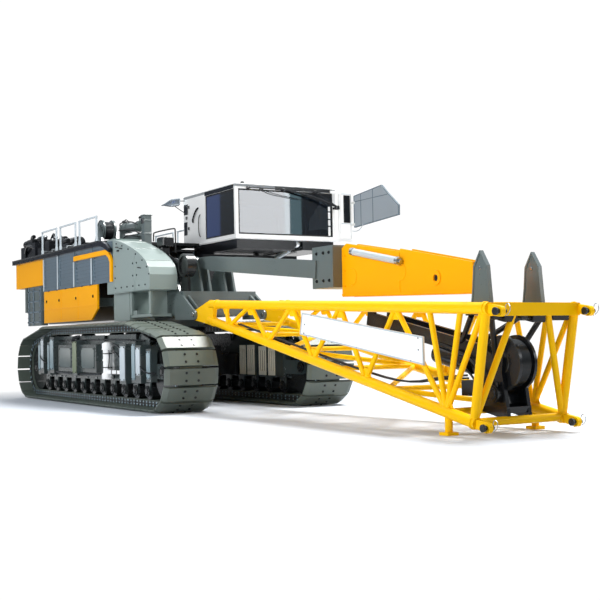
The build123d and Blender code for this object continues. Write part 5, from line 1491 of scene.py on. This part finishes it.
sideLines = {
    # round parts on the outer faces, once for each side: route with y from the track's middle, radius
    "greasePipe": ([(-4.3, 0.36, 1.92), (-3.0, 0.36, 1.94), (-1.0, 0.36, 1.93), (1.0, 0.36, 1.94), (3.0, 0.36, 1.92),
                    (4.2, 0.36, 1.88)], 0.022),
    "lowPipe": ([(-3.0, 0.50, 0.94), (-1.6, 0.51, 0.90), (0.0, 0.51, 0.90), (1.2, 0.50, 0.93)], 0.028),
    "feedOne": ([(2.1, 0.50, 1.72), (2.4, 0.56, 1.80), (2.8, 0.58, 1.76), (3.0, 0.56, 1.62)], 0.022),
    "feedTwo": ([(2.0, 0.46, 1.60), (2.4, 0.54, 1.60), (2.7, 0.56, 1.50), (2.95, 0.55, 1.36)], 0.020),
    "rearFeed": ([(-4.4, 0.52, 1.5), (-4.3, 0.62, 1.44), (-4.0, 0.62, 1.3), (-3.8, 0.54, 1.2)], 0.022),
    "frontFeed": ([(4.4, 0.58, 1.2), (4.6, 0.62, 1.1), (4.9, 0.56, 1.0), (5.1, 0.45, 1.02)], 0.020),
    "olivePipe": ([(-0.9, 0.62, 1.90), (-0.9, 0.62, 1.98), (-0.86, 0.56, 2.04), (-0.8, 0.42, 2.05)], 0.05),
}
sideBolts = {"xs": (-4.3, -3.9, -3.45, -2.9, -2.5, -1.5, -0.4, 0.4, 1.1, 2.5, 2.8, 3.45, 4.0), "face": 0.33, "z": 0.80}


def makeSideLines():
    pipes = [startPipe([(x, side * (trackY + y), z) for x, y, z in route], radius)
             for route, radius in sideLines.values() for side in ways]
    finishPiece(pipes, "side_pipes", "darkPaint", "undercarriage")
    seats = [((x, side * trackY + way * sideBolts["face"], sideBolts["z"]), (0, way, 0))
             for x in sideBolts["xs"] for side in ways for way in ways]
    finishPiece(boltsAt(0.030, 0.028, seats), "side_bolts", "pinSteel", "undercarriage")
    corners, inset = [], coverShape["boltInset"]
    for x, wide, low, high, face, _ in sideCovers.values():
        corners += [((x + way * (wide / 2 - inset), side * (trackY + face + coverShape["boltSeat"]), z), (0, side, 0))
                    for side in ways for way in ways for z in (low + inset, high - inset)]
    bolts = boltsAt(coverShape["bolt"], coverShape["bolt"], corners)
    finishPiece(bolts, "cover_bolts", "darkSteel", "undercarriage")


makeSideLines()

jack = {
    # rings: z, radius, height; clips and pipe once for each side, y from the jack's middle
    "x": 1.75, "y": 2.59, "bore": 0.12,
    "rings": ((0.94, 0.16, 0.03), (1.12, 0.142, 0.025), (1.32, 0.148, 0.05), (1.52, 0.142, 0.025),
              (1.645, 0.165, 0.03)),
    "cap": ([(0, 0), (0, 0.12), (0.02, 0.11), (0.05, 0.05), (0.05, 0)], 1.83),
    "clipXs": (2.2, 2.6), "clip": (0.03, 0.066, 0.955, 1.066),
    "pipe": [(0.13, 0.03, 1.1), (0.24, 0.05, 1.25), (0.26, 0.04, 1.5), (0.15, 0.02, 1.62)],
}


def makeJackDetail():
    rings, darks, bore = [], [], jack["bore"]
    for side in ways:
        x, y = jack["x"], side * jack["y"]
        for number, (z, radius, high) in enumerate(jack["rings"]):
            profile = [(0, bore), (0, radius), (high, radius), (high, bore)]
            (darks if number % 2 else rings).append(startSpin(profile, (x, y, z), (0, 0, 1), 24))
        profile, top = jack["cap"]
        rings.append(startSpin(profile, (x, y, top), (0, 0, 1), 20))
        dx, dy, low, high = jack["clip"]
        darks += [startBlock((at - dx, y - dy, low), (at + dx, y + dy, high), 0.006) for at in jack["clipXs"]]
        darks.append(startPipe([(x + ahead, y + side * out, z) for ahead, out, z in jack["pipe"]], 0.016))
    finishPiece(rings, "jack_rings", "whitePaint", "undercarriage")
    finishPiece(darks, "jack_clips", "darkSteel", "undercarriage")


makeJackDetail()

centre = {
    # bolts on the carbody's top plate only, hatches on both ends, the beams' joint plates, steps
    "bolts": 40, "boltCircle": 1.30, "boltZ": 1.70, "plateHalf": 1.0,
    "hatch": ((1.788, -0.45, 0.95), (1.812, 0.45, 1.5)),
    "jointXs": (-1.5, 1.5), "steps": (0.85, 1.15, 1.45),
    "step": ((1.82, -0.75), (1.98, -0.75), (1.98, -0.50), (1.82, -0.50)),
    # half length, middle y, from and to about it, low and high
    "joints": ((0.43, 1.50, -0.06, 0.06, 0.80, 1.44), (0.46, 1.70, -0.05, 0.055, 0.78, 1.46)),
}
ring = {"bolts": 48, "face": 1.2302, "boltZ": 2.17, "teeth": 90, "tooth": ((1.228, -0.025, 2.06), (1.262, 0.025, 2.13))}


def makeCentreDetail():
    circle = centre["boltCircle"]
    seats = [((x * circle, y * circle, centre["boltZ"]), (0, 0, 1)) for x, y in ringOf(centre["bolts"])
             if abs(y * circle) < centre["plateHalf"]]
    trims = [boltsAt(0.026, 0.04, seats)]
    for side in ways:
        low, high = [(side * x, y, z) for x, y, z in centre["hatch"]]
        trims.append(insetFaces(startBlock(low, high, 0.006), (side, 0, 0), 0.05, -0.006))
        for x in centre["jointXs"]:
            for half, y, y0, y1, low, high in centre["joints"]:
                trims.append(startBlock((x - half, side * y + y0, low), (x + half, side * y + y1, high), 0.015))
    steps = [startPipe([(x, y, z) for x, y in centre["step"]], 0.016, 1) for z in centre["steps"]]
    finishPiece(trims, "carbody_trim", "darkSteel", "undercarriage")
    finishPiece(steps, "carbody_steps", "railPaint", "undercarriage")
    bolts = boltsAt(0.022, 0.03, [((x * ring["face"], y * ring["face"], ring["boltZ"]), (x, y, 0))
                                  for x, y in ringOf(ring["bolts"])])
    teeth = copiedTo(roundEdges(startBlock(*ring["tooth"]), 0.006, 1),
                     [Matrix.Rotation(number * 2 * math.pi / ring["teeth"], 4, "Z") for number in range(ring["teeth"])])
    finishPiece([bolts, teeth], "ring_teeth", "linkSteel", "undercarriage")


makeCentreDetail()
print("stage: undercarriage dressed")
